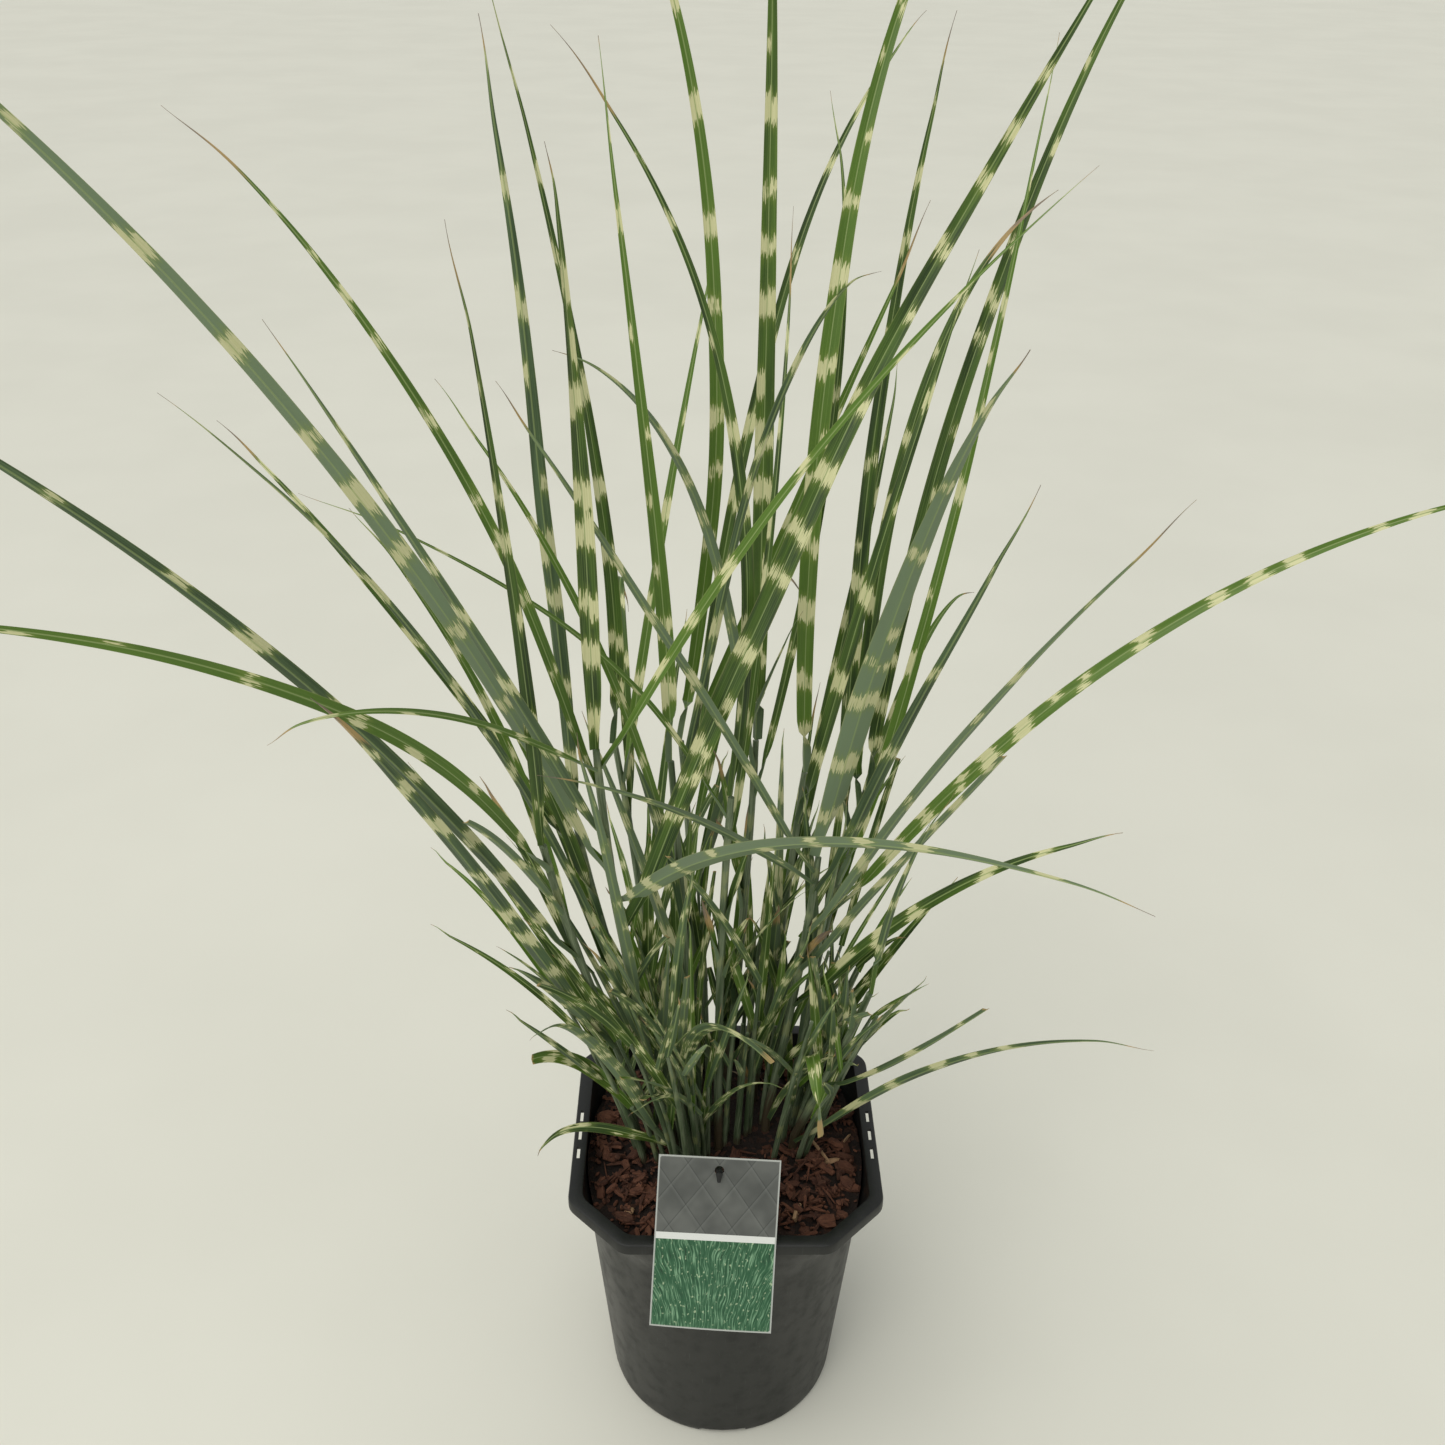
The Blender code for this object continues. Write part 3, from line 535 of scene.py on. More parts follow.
@dataclass(frozen=True)
class PrintedCard(Finish):
    """A printed polypropylene card: quilted grey over a grassy green, with a pale line between.

    Its own axes are painted on it in metres, and how close it is to the cut edge.
    """

    roughness: float = 0.32
    strip_low: float = 0.0
    strip_high: float = 0.0
    foot: float = -60 * MM

    def steps(self) -> Sequence[Row | Pattern | Fray | Stack]:
        """The quilting, the printed grass below it, the pale strip and the cut edge."""
        quilting: list[Row] = []
        for name, slope in (("up", 0.8), ("down", -0.8)):
            # Stitched lines, 17 mm apart, each with a dark fold and a light lip.
            way = (slope / (17 * MM), 0.6 / (17 * MM), 0.0)
            quilting += [
                Row("tilt_" + name, "VectorMath", {"operation": "DOT_PRODUCT"},
                    {0: "place", 1: way}, output=1),
                Row("fold_" + name, "Math", {"operation": "FRACT"}, {0: "tilt_" + name}),
            ]
        folds = [layer for name in ("up", "down") for layer in (
            Layer("fold_" + name, "#3b3d3b", (0.02, 0.06), (0.5, 0.0)),
            Layer("fold_" + name, "#767975", (0.86, 1.0), (0.0, 0.3)))]
        return (
            *PAINTED, *quilting,
            Pattern("shade", (25 * MM, 25 * MM, 1.0)),
            Pattern("bend", (20 * MM, 20 * MM, 1.0), 1.0),
            # Grass in print: blades 1 mm wide and 13 mm long, fanned out towards the foot.
            Row("spread", "MapRange", SMOOTHLY, {0: "spot.Y", 1: self.foot, 2: self.strip_low,
                                                 3: 1.3, 4: 0.75}),
            Row("sway", "MapRange", SMOOTHLY, {0: "bend", 1: 0.2, 2: 0.8,
                                               3: -1.5 * MM, 4: 1.5 * MM}),
            Row("aside", "Math", {"operation": "MULTIPLY_ADD"},
                {0: "spot.X", 1: "spread", 2: "sway"}),
            Row("swayed", "CombineXYZ", {}, {0: "aside", 1: "spot.Y", 2: 0.0}),
            Pattern("blades", (1 * MM, 13 * MM, 1.0), over="swayed"),
            Pattern("fleck", (2 * MM, 3 * MM, 1.0), 1.0),
            Stack("grass", "#2c5a3c", (
                Layer("blades", "#7fa784", (0.48, 0.72)),
                Layer("blades", "#16301f", (0.45, 0.25), (0.0, 0.8)),
                Layer("fleck", "#bccfa9", (0.62, 0.75), (0.0, 0.7)),
            )),
            Row("below", "Math", {"operation": "LESS_THAN"}, {0: "spot.Y", 1: self.strip_low}),
            Row("strip", "Math", {"operation": "COMPARE"},
                {0: "spot.Y", 1: (self.strip_low + self.strip_high) / 2,
                 2: (self.strip_high - self.strip_low) / 2}),
            Stack("body", "#50524f", (
                Layer("shade", "#656763", (0.3, 0.7)),
                *folds,
                Layer("below", "grass"),
                Layer("strip", "#dfe1dd"),
                Layer("state.Z", "#b4b7b2", (0.3, 0.7)),
            )),
        )


@dataclass(frozen=True)
class PegPlastic(Finish):
    """Black moulded plastic of the label's peg, smooth with a soft shine."""

    roughness: float = 0.35

    def steps(self) -> Sequence[Row | Pattern | Fray | Stack]:
        """Wear in spots of about 3 mm."""
        return (*IN_OBJECT, Pattern("wear", (3 * MM,) * 3),
                Stack("body", "#161717", (Layer("wear", "#2d2e2e", (0.5, 0.8), (0.0, 0.5)),)))


@dataclass(frozen=True)
class StudioFloor(Finish):
    """A matt painted board to stand on, pale and almost plain."""

    roughness: float = 0.75

    def steps(self) -> Sequence[Row | Pattern | Fray | Stack]:
        """Clouds of half a metre, hardly there."""
        return (*IN_OBJECT, Pattern("cloud", (0.5,) * 3, 3.0),
                Stack("body", "#e6e5d9", (Layer("cloud", "#e2e1d5", (0.3, 0.7)),)))


UPPER = LeafTissue("leaf_upper_face", roughness=0.46)
UNDER = LeafTissue("leaf_under_face", roughness=0.55, deep="#33492a", fresh="#4c6340",
                   vein="#6d8159", band="#c3c398", bloom="#75886a", rib_half=0.5 * MM,
                   rib_share=0.5)
SHEATH = SheathTissue("leaf_sheath_waxed", roughness=0.5)
BARK = BarkChip("pine_bark_broken")
SOIL = PottingSoil("peat_potting_mix")
POT_PLASTIC = PotPlastic("polypropylene_black_moulded")
PEG_PLASTIC = PegPlastic("peg_plastic_black")
FLOOR = StudioFloor("matt_paint_pale")


# ------------------------------------------------------------------ meshes with painted values

@dataclass
class Skin:
    """Gathers one piece's points and faces, with the values that its materials read."""

    points: list[Vector] = field(default_factory=list)
    faces: list[tuple[int, ...]] = field(default_factory=list)
    slots: list[int] = field(default_factory=list)
    place: list[Place] = field(default_factory=list)
    form: list[Place] = field(default_factory=list)

    def point(self, at: Vector, place: Place, form: Place) -> int:
        """Adds a point.

        Args:
            at: Where it is, in metres.
            place: Its own place on the tissue: along, across and the piece's seed.
            form: Three more values; each finish says what it reads.

        Returns:
            The point's number.
        """
        self.points.append(at)
        self.place.append(place)
        self.form.append(form)
        return len(self.points) - 1

    def face(self, corners: Sequence[int], slot: int = 0) -> None:
        """Adds a face with the material of a slot."""
        self.faces.append(tuple(corners))
        self.slots.append(slot)

    def tube(self, rings: Sequence[Sequence[int]], slot: Callable[[int], int]) -> None:
        """Joins closed rings of points, and closes both ends.

        Args:
            rings: The points' numbers, ring by ring, all of one length.
            slot: Gives the material slot of each strip round the rings.
        """
        for here, ahead in zip(rings, rings[1:]):
            count = len(here)
            for i in range(count):
                j = (i + 1) % count
                self.face((here[i], here[j], ahead[j], ahead[i]), slot(i))
        self.face(tuple(reversed(rings[0])), slot(0))
        self.face(tuple(rings[-1]), slot(0))

    def piece(self, name: str, finishes: Sequence[Finish], sharp: float = 60.0,
              ) -> bpy.types.Object:
        """Makes the object.

        Args:
            name: Its name.
            finishes: The finish of each material slot.
            sharp: The angle, in degrees, from which an edge stays sharp.

        Returns:
            The object, which rides on the part's one body.
        """
        mesh = bpy.data.meshes.new(name)
        mesh.from_pydata(self.points, [], self.faces)
        for index, polygon in enumerate(mesh.polygons):
            polygon.material_index = self.slots[index]
        for label, values in (("place", self.place), ("form", self.form)):
            layer = mesh.attributes.new(label, "FLOAT_VECTOR", "POINT")
            layer.data.foreach_set("vector", [number for value in values for number in value])
        mesh.shade_smooth()
        mesh.set_sharp_from_angle(angle=math.radians(sharp))
        for finish in finishes:
            mesh.materials.append(material_of(finish))
        made = bpy.data.objects.new(name, mesh)
        bpy.context.scene.collection.objects.link(made)
        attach(made, "root")
        LOG.info("%s: %d faces", name, len(mesh.polygons))
        return made


def material_of(finish: Finish) -> bpy.types.Material:
    """The material of a finish, made the first time it is asked for."""
    return bpy.data.materials.get(finish.name) or finish.make()


# ------------------------------------------------------------------ routes in the clump

def planted(point: Sequence[float]) -> Vector:
    """A place in the planting plan, in centimetres, as metres in the pot's own axes."""
    return Matrix.Rotation(PLANT_TURN, 3, "Z") @ (Vector(point) * CM)


def through(start: Vector, middle: Vector, end: Vector, steps: int) -> list[Vector]:
    """Points on the smooth arch that starts, passes the middle half way and ends."""
    control = middle * 2 - (start + end) / 2
    points = []
    for k in range(steps + 1):
        t = k / steps
        points.append(start * (1 - t) ** 2 + control * 2 * t * (1 - t) + end * t ** 2)
    return points


def stem_foot(base: Sequence[float]) -> tuple[Vector, Vector]:
    """Where a stem leaves the crown, and the place a little way straight above it."""
    foot = planted((*base, 0))
    foot.z = CROWN_TOP + GAP
    return foot, foot + Vector((0, 0, FOOT_RISE))


def place_on(route: Sequence[Vector], share: float) -> tuple[Vector, Vector]:
    """A place along a line of points, and the way the line runs there."""
    reach = share * (len(route) - 1)
    k = min(int(reach), len(route) - 2)
    place = route[k].lerp(route[k + 1], reach - k)
    return place, (route[k + 1] - route[k]).normalized()


def blade_face(start: Vector, end: Vector) -> Vector:
    """The way a blade's face looks: between straight up and the light."""
    along = (end - start).normalized()
    side = along.cross((0, 0, 1)).normalized()
    flat = side.cross(along)
    pull = LIGHT_PULL if flat.dot(LIGHT) > 0 else -LIGHT_PULL
    return (flat + square_to(LIGHT, along) * pull).normalized()


@dataclass
class Blade:
    """One leaf blade: a thin V of tissue with a keel, cream bands and a drawn-out tip."""

    start: Vector
    middle: Vector
    end: Vector
    width: float
    turn: float
    seed: int
    cut: bool = False
    hug: Vector | None = None        # towards the culm, where the blade leaves it
    standoff: float = 0.0            # how far the planned line starts off the culm
    band_gap: float = 34 * MM
    band_size: float = 13 * MM
    dry: float = 25 * MM             # length of the withered tip
    wax: float | None = None         # bloom on it from 0 to 1, or None for any
    fine: float = 5 * MM             # length of one row of faces
    thickness: float = 0.38 * MM
    COLUMNS = (-1.0, -0.74, -0.44, -0.12, 0.0, 0.12, 0.44, 0.74, 1.0)

    def share_of_width(self, t: float) -> float:
        """The blade's width along its length, as a share of its widest."""
        if self.cut:
            t *= CUT_SHARE
        if t < WIDEST:
            return 0.74 + 0.26 * math.sin(math.pi / 2 * t / WIDEST)
        return max(1 - ((t - WIDEST) / (1 - WIDEST)) ** 1.5, 0.035)

    def bands(self, length: float) -> list[tuple[float, float, float, float, float]]:
        """Lays out the cream bands.

        Args:
            length: The blade's length in metres.

        Returns:
            For each band its middle, the half length left and right of the midrib, the shift
            of its right half and how round its ends are, all in metres.
        """
        draw = random.Random(self.seed)
        made = []
        at = self.band_gap * draw.uniform(0.5, 1.3)
        while at < length * 0.97:
            half = self.band_size / 2 * draw.uniform(0.55, 1.35)
            left, right = half * draw.uniform(0.6, 1.2), half * draw.uniform(0.6, 1.2)
            lost = draw.random()
            if lost < 0.14:
                left = -6 * MM
            elif lost < 0.28:
                right = -6 * MM
            made.append((at, left, right, draw.uniform(-5, 5) * MM, draw.uniform(-2, 4.5) * MM))
            at += self.band_gap * draw.uniform(0.6, 1.45)
        return made

    def grow(self, skin: Skin, upper: int = 0, under: int = 1) -> None:
        """Adds the blade to a skin.

        Args:
            skin: The mesh it becomes part of.
            upper: The material slot of its upper side.
            under: The material slot of its under side.
        """
        draw = random.Random(self.seed + 7)
        rough_length = (self.middle - self.start).length + (self.end - self.middle).length
        steps = max(12, int(rough_length / self.fine))
        line = through(self.start, self.middle, self.end, steps)
        seed = draw.randrange(10) + (draw.random() if self.wax is None else self.wax)
        face = blade_face(self.start, self.end)
        bands = self.bands(rough_length)
        travelled = 0.0
        rings = []
        for k, point in enumerate(line):
            t = k / steps
            travelled += (point - line[k - 1]).length if k else 0.0
            along = (line[min(k + 1, steps)] - line[max(k - 1, 0)]).normalized()
            up = square_to(face, along)
            clasp = 1 - smooth(0.0, 55 * MM, travelled)
            if self.hug is not None:
                up = square_to(up * (1 - clasp) + square_to(self.hug, along) * clasp * 1.3, along)
                point = point + self.hug * self.standoff * (1 - smooth(0, 28 * MM, travelled))
            wander = noise.noise(Vector((travelled * 9, seed, 0.5)))
            twist = math.radians(self.turn) * t + math.radians(16) * wander
            up = Matrix.Rotation(twist, 3, along) @ up
            across = along.cross(up)
            width = self.width * self.share_of_width(t)
            sway = noise.noise(Vector((travelled * 6, 4.5, seed))) * 5 * MM * smooth(0, 0.3, t)
            curl = smooth(0.86, 1.0, t) * (0 if self.cut else 1)
            sway += curl * 5 * MM * math.sin(t * 9 + seed * 3)
            point = point + across * sway * 0.5 + up * sway * 0.4
            wither = smooth(self.dry * 1.5, self.dry * 0.2, rough_length - travelled)
            if self.cut:
                wither = smooth(3 * MM, 0, rough_length - travelled) * 0.6
            rings.append(self.section(skin, point, across, up, width, wither, travelled, seed,
                                      clasp if self.hug is not None else 0.0, bands))
        skin.tube(rings, lambda i: upper if i < len(self.COLUMNS) - 1 else under)

    def section(
        self, skin: Skin, point: Vector, across: Vector, up: Vector, width: float,
        wither: float, travelled: float, seed: float, clasp: float,
        bands: list[tuple[float, float, float, float, float]],
    ) -> list[int]:
        """Adds one row of points round the blade.

        Args:
            skin: The mesh it becomes part of.
            point: The blade's line here.
            across: The way across the blade.
            up: The way its face looks.
            width: Its width here.
            wither: How dry it is here, from 0 to 1.
            travelled: The length that lies behind, in metres.
            seed: The blade's own number.
            clasp: How closely it still clasps the culm, from 0 to 1.
            bands: Its cream bands.

        Returns:
            The numbers of the new points, once round the section.
        """
        fold = 0.20 + 0.75 * clasp + 0.10 * noise.noise(Vector((travelled * 5, seed, 9.1)))
        row = []
        for layer in (0, 1):
            columns = self.COLUMNS if layer == 0 else tuple(reversed(self.COLUMNS[1:-1]))
            for u in columns:
                ripple = noise.noise(Vector((travelled * 22, u * 1.3, seed))) * 0.03 * abs(u) ** 3
                half = width / 2
                lean = math.atan(fold)
                x = u * half * math.cos(lean)
                y = abs(u) ** 1.15 * half * math.sin(lean) - 0.02 * width + ripple * width
                if layer:
                    keel = 0.35 * MM * max(0.0, 1 - abs(u) / 0.15) * min(1.0, width / (6 * MM))
                    y -= min(self.thickness, 0.12 * width + 0.05 * MM) * (1 - u ** 4) + keel
                nearest = 1.0
                for middle, left, right, shift, rounding in bands:
                    size = right if u > 0 else left
                    apart = abs(travelled - middle - (shift if u > 0 else 0.0)) - size
                    apart += rounding * (abs(abs(u) - 0.5) * 2) ** 2
                    nearest = min(nearest, apart)
                row.append(skin.point(point + across * x + up * y,
                                      (travelled, u * half, seed),
                                      (nearest, wither, abs(u))))
        return row


def blade_of(
    leaf: Leaf, route: Sequence[Vector], radius: Callable[[float], float], seed: int,
    rooted: bool,
) -> Blade:
    """The blade of a leaf in the planting plan.

    Args:
        leaf: Its entry in the plan.
        route: The line of its culm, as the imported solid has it.
        radius: The culm's radius along its length.
        seed: The blade's own number.
        rooted: True for a slender blade, whose solid starts inside its stem.

    Returns:
        The blade, ready to grow.
    """
    share, middle, tip, width, turn, cut = leaf
    middle, tip = planted(middle), planted(tip)
    place, along = place_on(route, share)
    away = square_to(middle * 2 - (place + tip) / 2 - place, along)
    standoff = 0.0
    if share == 1.0 and not rooted:
        start = place + along * 2 * GAP
    elif rooted:
        start = place + away * radius(share)
    else:
        standoff = STANDOFF * width * MM
        start = place + away * (radius(share) + standoff)
    draw = random.Random(seed)
    return Blade(start, middle, tip, width * MM, turn, seed, cut, -away, standoff,
                 band_gap=draw.uniform(36, 58) * MM, band_size=draw.uniform(9, 15) * MM,
                 dry=draw.choice((6, 12, 20, 35, 60)) * MM, wax=0.95 if width > 16 else None)


@dataclass
class Stem:
    """A round stem in its sheaths, each sheath ending in a pale collar where its blade parts."""

    line: Sequence[Vector]
    thick: float
    thin: float
    seed: int
    collars: Sequence[float] = ()
    sides: int = 12
    fine: float = 6 * MM
    brown: float = 60 * MM           # length of the browned foot

    def radius(self, share: float) -> float:
        """The stem's radius along its length."""
        return self.thick + (self.thin - self.thick) * share

    def grow(self, skin: Skin, slot: int) -> None:
        """Adds the stem to a skin, with the material of a slot."""
        draw = random.Random(self.seed)
        seed = draw.random() * 10
        length = sum((b - a).length for a, b in zip(self.line, self.line[1:]))
        steps = max(8, int(length / self.fine))
        bands = [draw.uniform(0.15, 0.95) * length for _ in range(int(length / 0.09))]
        rings = []
        side = Vector((1, 0, 0))
        for k in range(steps + 1):
            share = k / steps
            point, along = place_on(self.line, share)
            side = square_to(side, along)
            other = along.cross(side)
            travelled = share * length
            swell = 0.0
            collar = 0.0
            for at in self.collars:
                gone = (share - at) * length
                swell += 0.10 * smooth(-40 * MM, -2 * MM, gone) * (1 - smooth(0, 3 * MM, gone))
                collar = max(collar, 1 - smooth(0.5 * MM, 3 * MM, abs(gone)))
            radius = self.radius(share) * (1 + swell)
            old = 1 - smooth(0, self.brown, travelled)
            row = []
            for i in range(self.sides):
                turn = 2 * math.pi * i / self.sides
                ribbed = 1 + 0.03 * noise.noise(Vector((travelled * 8, turn, seed)))
                # A sheath's free edge laps over itself and stands a little proud.
                lap = 0.08 * max(0.0, 1 - abs(i - 3)) * (1 - old)
                reach = radius * (ribbed + lap)
                near = min((abs(travelled - b) - 5 * MM for b in bands), default=1.0)
                at = point + (side * math.cos(turn) + other * math.sin(turn)) * reach
                row.append(skin.point(at, (travelled, turn * radius, seed),
                                      (near, old, collar * 0.8)))
            rings.append(row)
        skin.tube(rings, lambda i: slot)


# ------------------------------------------------------------------ sub-assemblies

@dataclass
class GrassClump:
    """The plant: culms in their sheaths, leaves, slender blades and young shoots."""

    culm_thick: float = 3.4 * MM
    culm_thin: float = 2.21 * MM
    route_steps: int = 4
    fine_steps: int = 60
    inner_blades: int = 5
    tillers: int = 5
    spare: float = 12 * MM           # how far a small blade may pass its culm's own room

    def culm_radius(self, share: float) -> float:
        """A culm is thickest at its foot."""
        return self.culm_thick * (1 - 0.35 * share)

    def routes(self, letter: str) -> tuple[list[Vector], list[Vector]]:
        """The culm's line as the solid has it, and the same arch in finer steps."""
        base, middle, top = CULMS[letter]
        foot, rise = stem_foot(base)
        ends = (rise, planted(middle), planted(top))
        return [foot, *through(*ends, self.route_steps)], [foot, *through(*ends, self.fine_steps)]

    def build_leaves(self, letter: str) -> None:
        """Builds the free leaves of one culm, each a piece of its own."""
        route, _ = self.routes(letter)
        for k, leaf in enumerate(LEAVES[letter], 1):
            skin = Skin()
            blade_of(leaf, route, self.culm_radius, ord(letter) * 31 + k, False).grow(skin)
            piece = skin.piece(f"blade_{letter}{k}", (UPPER, UNDER))
            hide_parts(f"leaf_{letter}{k}")

    def tip_from(self, place: Vector, way: Vector, reach: float, node: str) -> Vector | None:
        """The tip of a small blade, nearer where the full reach would leave its solid's room.

        Args:
            place: Where the blade starts.
            way: The way it grows.
            reach: How far it would grow.
            node: The solid that it is part of.

        Returns:
            The tip, or None if there is no room for a blade of any use.
        """
        low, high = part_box(node)
        while reach > 35 * MM:
            tip = place + way * reach
            if all(low[i] - self.spare < tip[i] < high[i] + self.spare for i in range(3)):
                return tip
            reach *= 0.85
        return None

    def grow_inner_blades(self, skin: Skin, node: str, route: Sequence[Vector],
                          draw: random.Random) -> None:
        """Adds the short blades of a culm's lower sheaths, which fill the heart of the clump.

        Args:
            skin: The mesh they become part of.
            node: The culm's solid.
            route: The culm's line.
            draw: The random numbers to use.
        """
        for _ in range(self.inner_blades):
            share = draw.uniform(0.10, 0.75)
            place, along = place_on(route, share)
            heading = draw.uniform(0, 2 * math.pi)
            lean = draw.uniform(0.15, 0.6)
            aside = Vector((math.cos(heading), math.sin(heading), 0)) * lean
            tip = self.tip_from(place, (along + aside).normalized(),
                                draw.uniform(140, 320) * MM, node)
            if tip is None:
                continue
            reach = (tip - place).length
            middle = place.lerp(tip, 0.5) + Vector((0, 0, reach * draw.uniform(0.02, 0.09)))
            away = square_to(middle - place, along)
            Blade(place + away * self.culm_radius(share), middle, tip,
                  draw.uniform(6, 11) * MM, draw.uniform(-50, 50), draw.randrange(10 ** 6),
                  hug=-away, band_gap=draw.uniform(28, 46) * MM,
                  band_size=draw.uniform(7, 13) * MM, dry=draw.choice((5, 10, 30)) * MM,
                  fine=8 * MM).grow(skin)

    def grow_tillers(self, skin: Skin, node: str, foot: Vector, draw: random.Random) -> None:
        """Adds the young tillers round a culm's foot, each with a few narrow blades.

        Args:
            skin: The mesh they become part of.
            node: The culm's solid.
            foot: The culm's foot.
            draw: The random numbers to use.
        """
        for _ in range(self.tillers):
            heading = draw.uniform(0, 2 * math.pi)
            out = Vector((math.cos(heading), math.sin(heading), 0))
            base = foot + out * draw.uniform(5, 18) * MM
            base.z = foot.z - 2 * MM
            spread = (foot - planted((0, 2.8, CROWN_TOP / CM))) * 0.4 + out * 8 * MM
            top = self.tip_from(base, (Vector((0, 0, 0.1)) + spread).normalized(),
                                draw.uniform(60, 170) * MM, node)
            if top is None:
                continue
            line = through(base, base.lerp(top, 0.5) - spread * 0.1, top, 16)
            Stem(line, draw.uniform(2.0, 3.0) * MM, 1.2 * MM, draw.randrange(10 ** 6),
                 [0.7], 10, brown=18 * MM).grow(skin, 2)
            for share in (0.6, 1.0):
                place, along = place_on(line, share)
                heading += draw.uniform(2.2, 4.0)
                aside = Vector((math.cos(heading), math.sin(heading), 0))
                way = (aside * draw.uniform(0.15, 0.7) + along).normalized()
                tip = self.tip_from(place, way, draw.uniform(70, 180) * MM, node)
                if tip is None:
                    continue
                reach = (tip - place).length
                middle = place.lerp(tip, 0.5) + Vector((0, 0, reach * draw.uniform(0.02, 0.12)))
                Blade(place, middle, tip, draw.uniform(3.5, 7.5) * MM, draw.uniform(-50, 50),
                      draw.randrange(10 ** 6), cut=draw.random() < 0.2,
                      band_gap=draw.uniform(14, 32) * MM, band_size=draw.uniform(4, 8) * MM,
                      dry=draw.choice((2, 4, 9)) * MM, fine=6 * MM).grow(skin)

    def build_culm(self, letter: str) -> None:
        """Builds one culm in its sheaths, with its slender blades and the young growth at it."""
        route, line = self.routes(letter)
        skin = Skin()
        parted = [leaf[0] for leaf in LEAVES[letter]]
        collars = [share for share in parted if share < 1.0]
        stem = Stem(line, self.culm_thick, self.culm_thin, ord(letter), collars)
        stem.grow(skin, 2)
        for k, leaf in enumerate(SLENDER.get(letter, ())):
            blade_of(leaf, route, self.culm_radius, ord(letter) * 57 + k, True).grow(skin)
        draw = random.Random(ord(letter) * 101)
        self.grow_inner_blades(skin, f"culm_{letter}", route, draw)
        self.grow_tillers(skin, f"culm_{letter}", route[0], draw)
        piece = skin.piece(f"sheathed_culm_{letter}", (UPPER, UNDER, SHEATH))
        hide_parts(f"culm_{letter}")

    def build_shoot(self, side: str) -> None:
        """Builds one young shoot with its blades."""
        base, top, blades = SHOOTS[side]
        foot, rise = stem_foot(base)
        route = [foot, rise, planted(top)]
        skin = Skin()
        Stem(route, 2.4 * MM, 1.8 * MM, len(side) * 11, [0.8], brown=25 * MM).grow(skin, 2)
        for k, leaf in enumerate(blades):
            blade = blade_of(leaf, route, lambda share: 2.0 * MM, len(side) * 91 + k, True)
            blade.band_gap, blade.band_size = 17 * MM, 6 * MM
            blade.dry = 3 * MM
            blade.grow(skin)
        self.grow_tillers(skin, f"shoot_{side}", foot, random.Random(len(side) * 77))
        piece = skin.piece(f"young_shoot_{side}", (UPPER, UNDER, SHEATH))
        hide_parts(f"shoot_{side}")

    def build(self) -> None:
        """Builds the whole clump."""
        for letter in CULMS:
            self.build_culm(letter)
            self.build_leaves(letter)
        for side in SHOOTS:
            self.build_shoot(side)


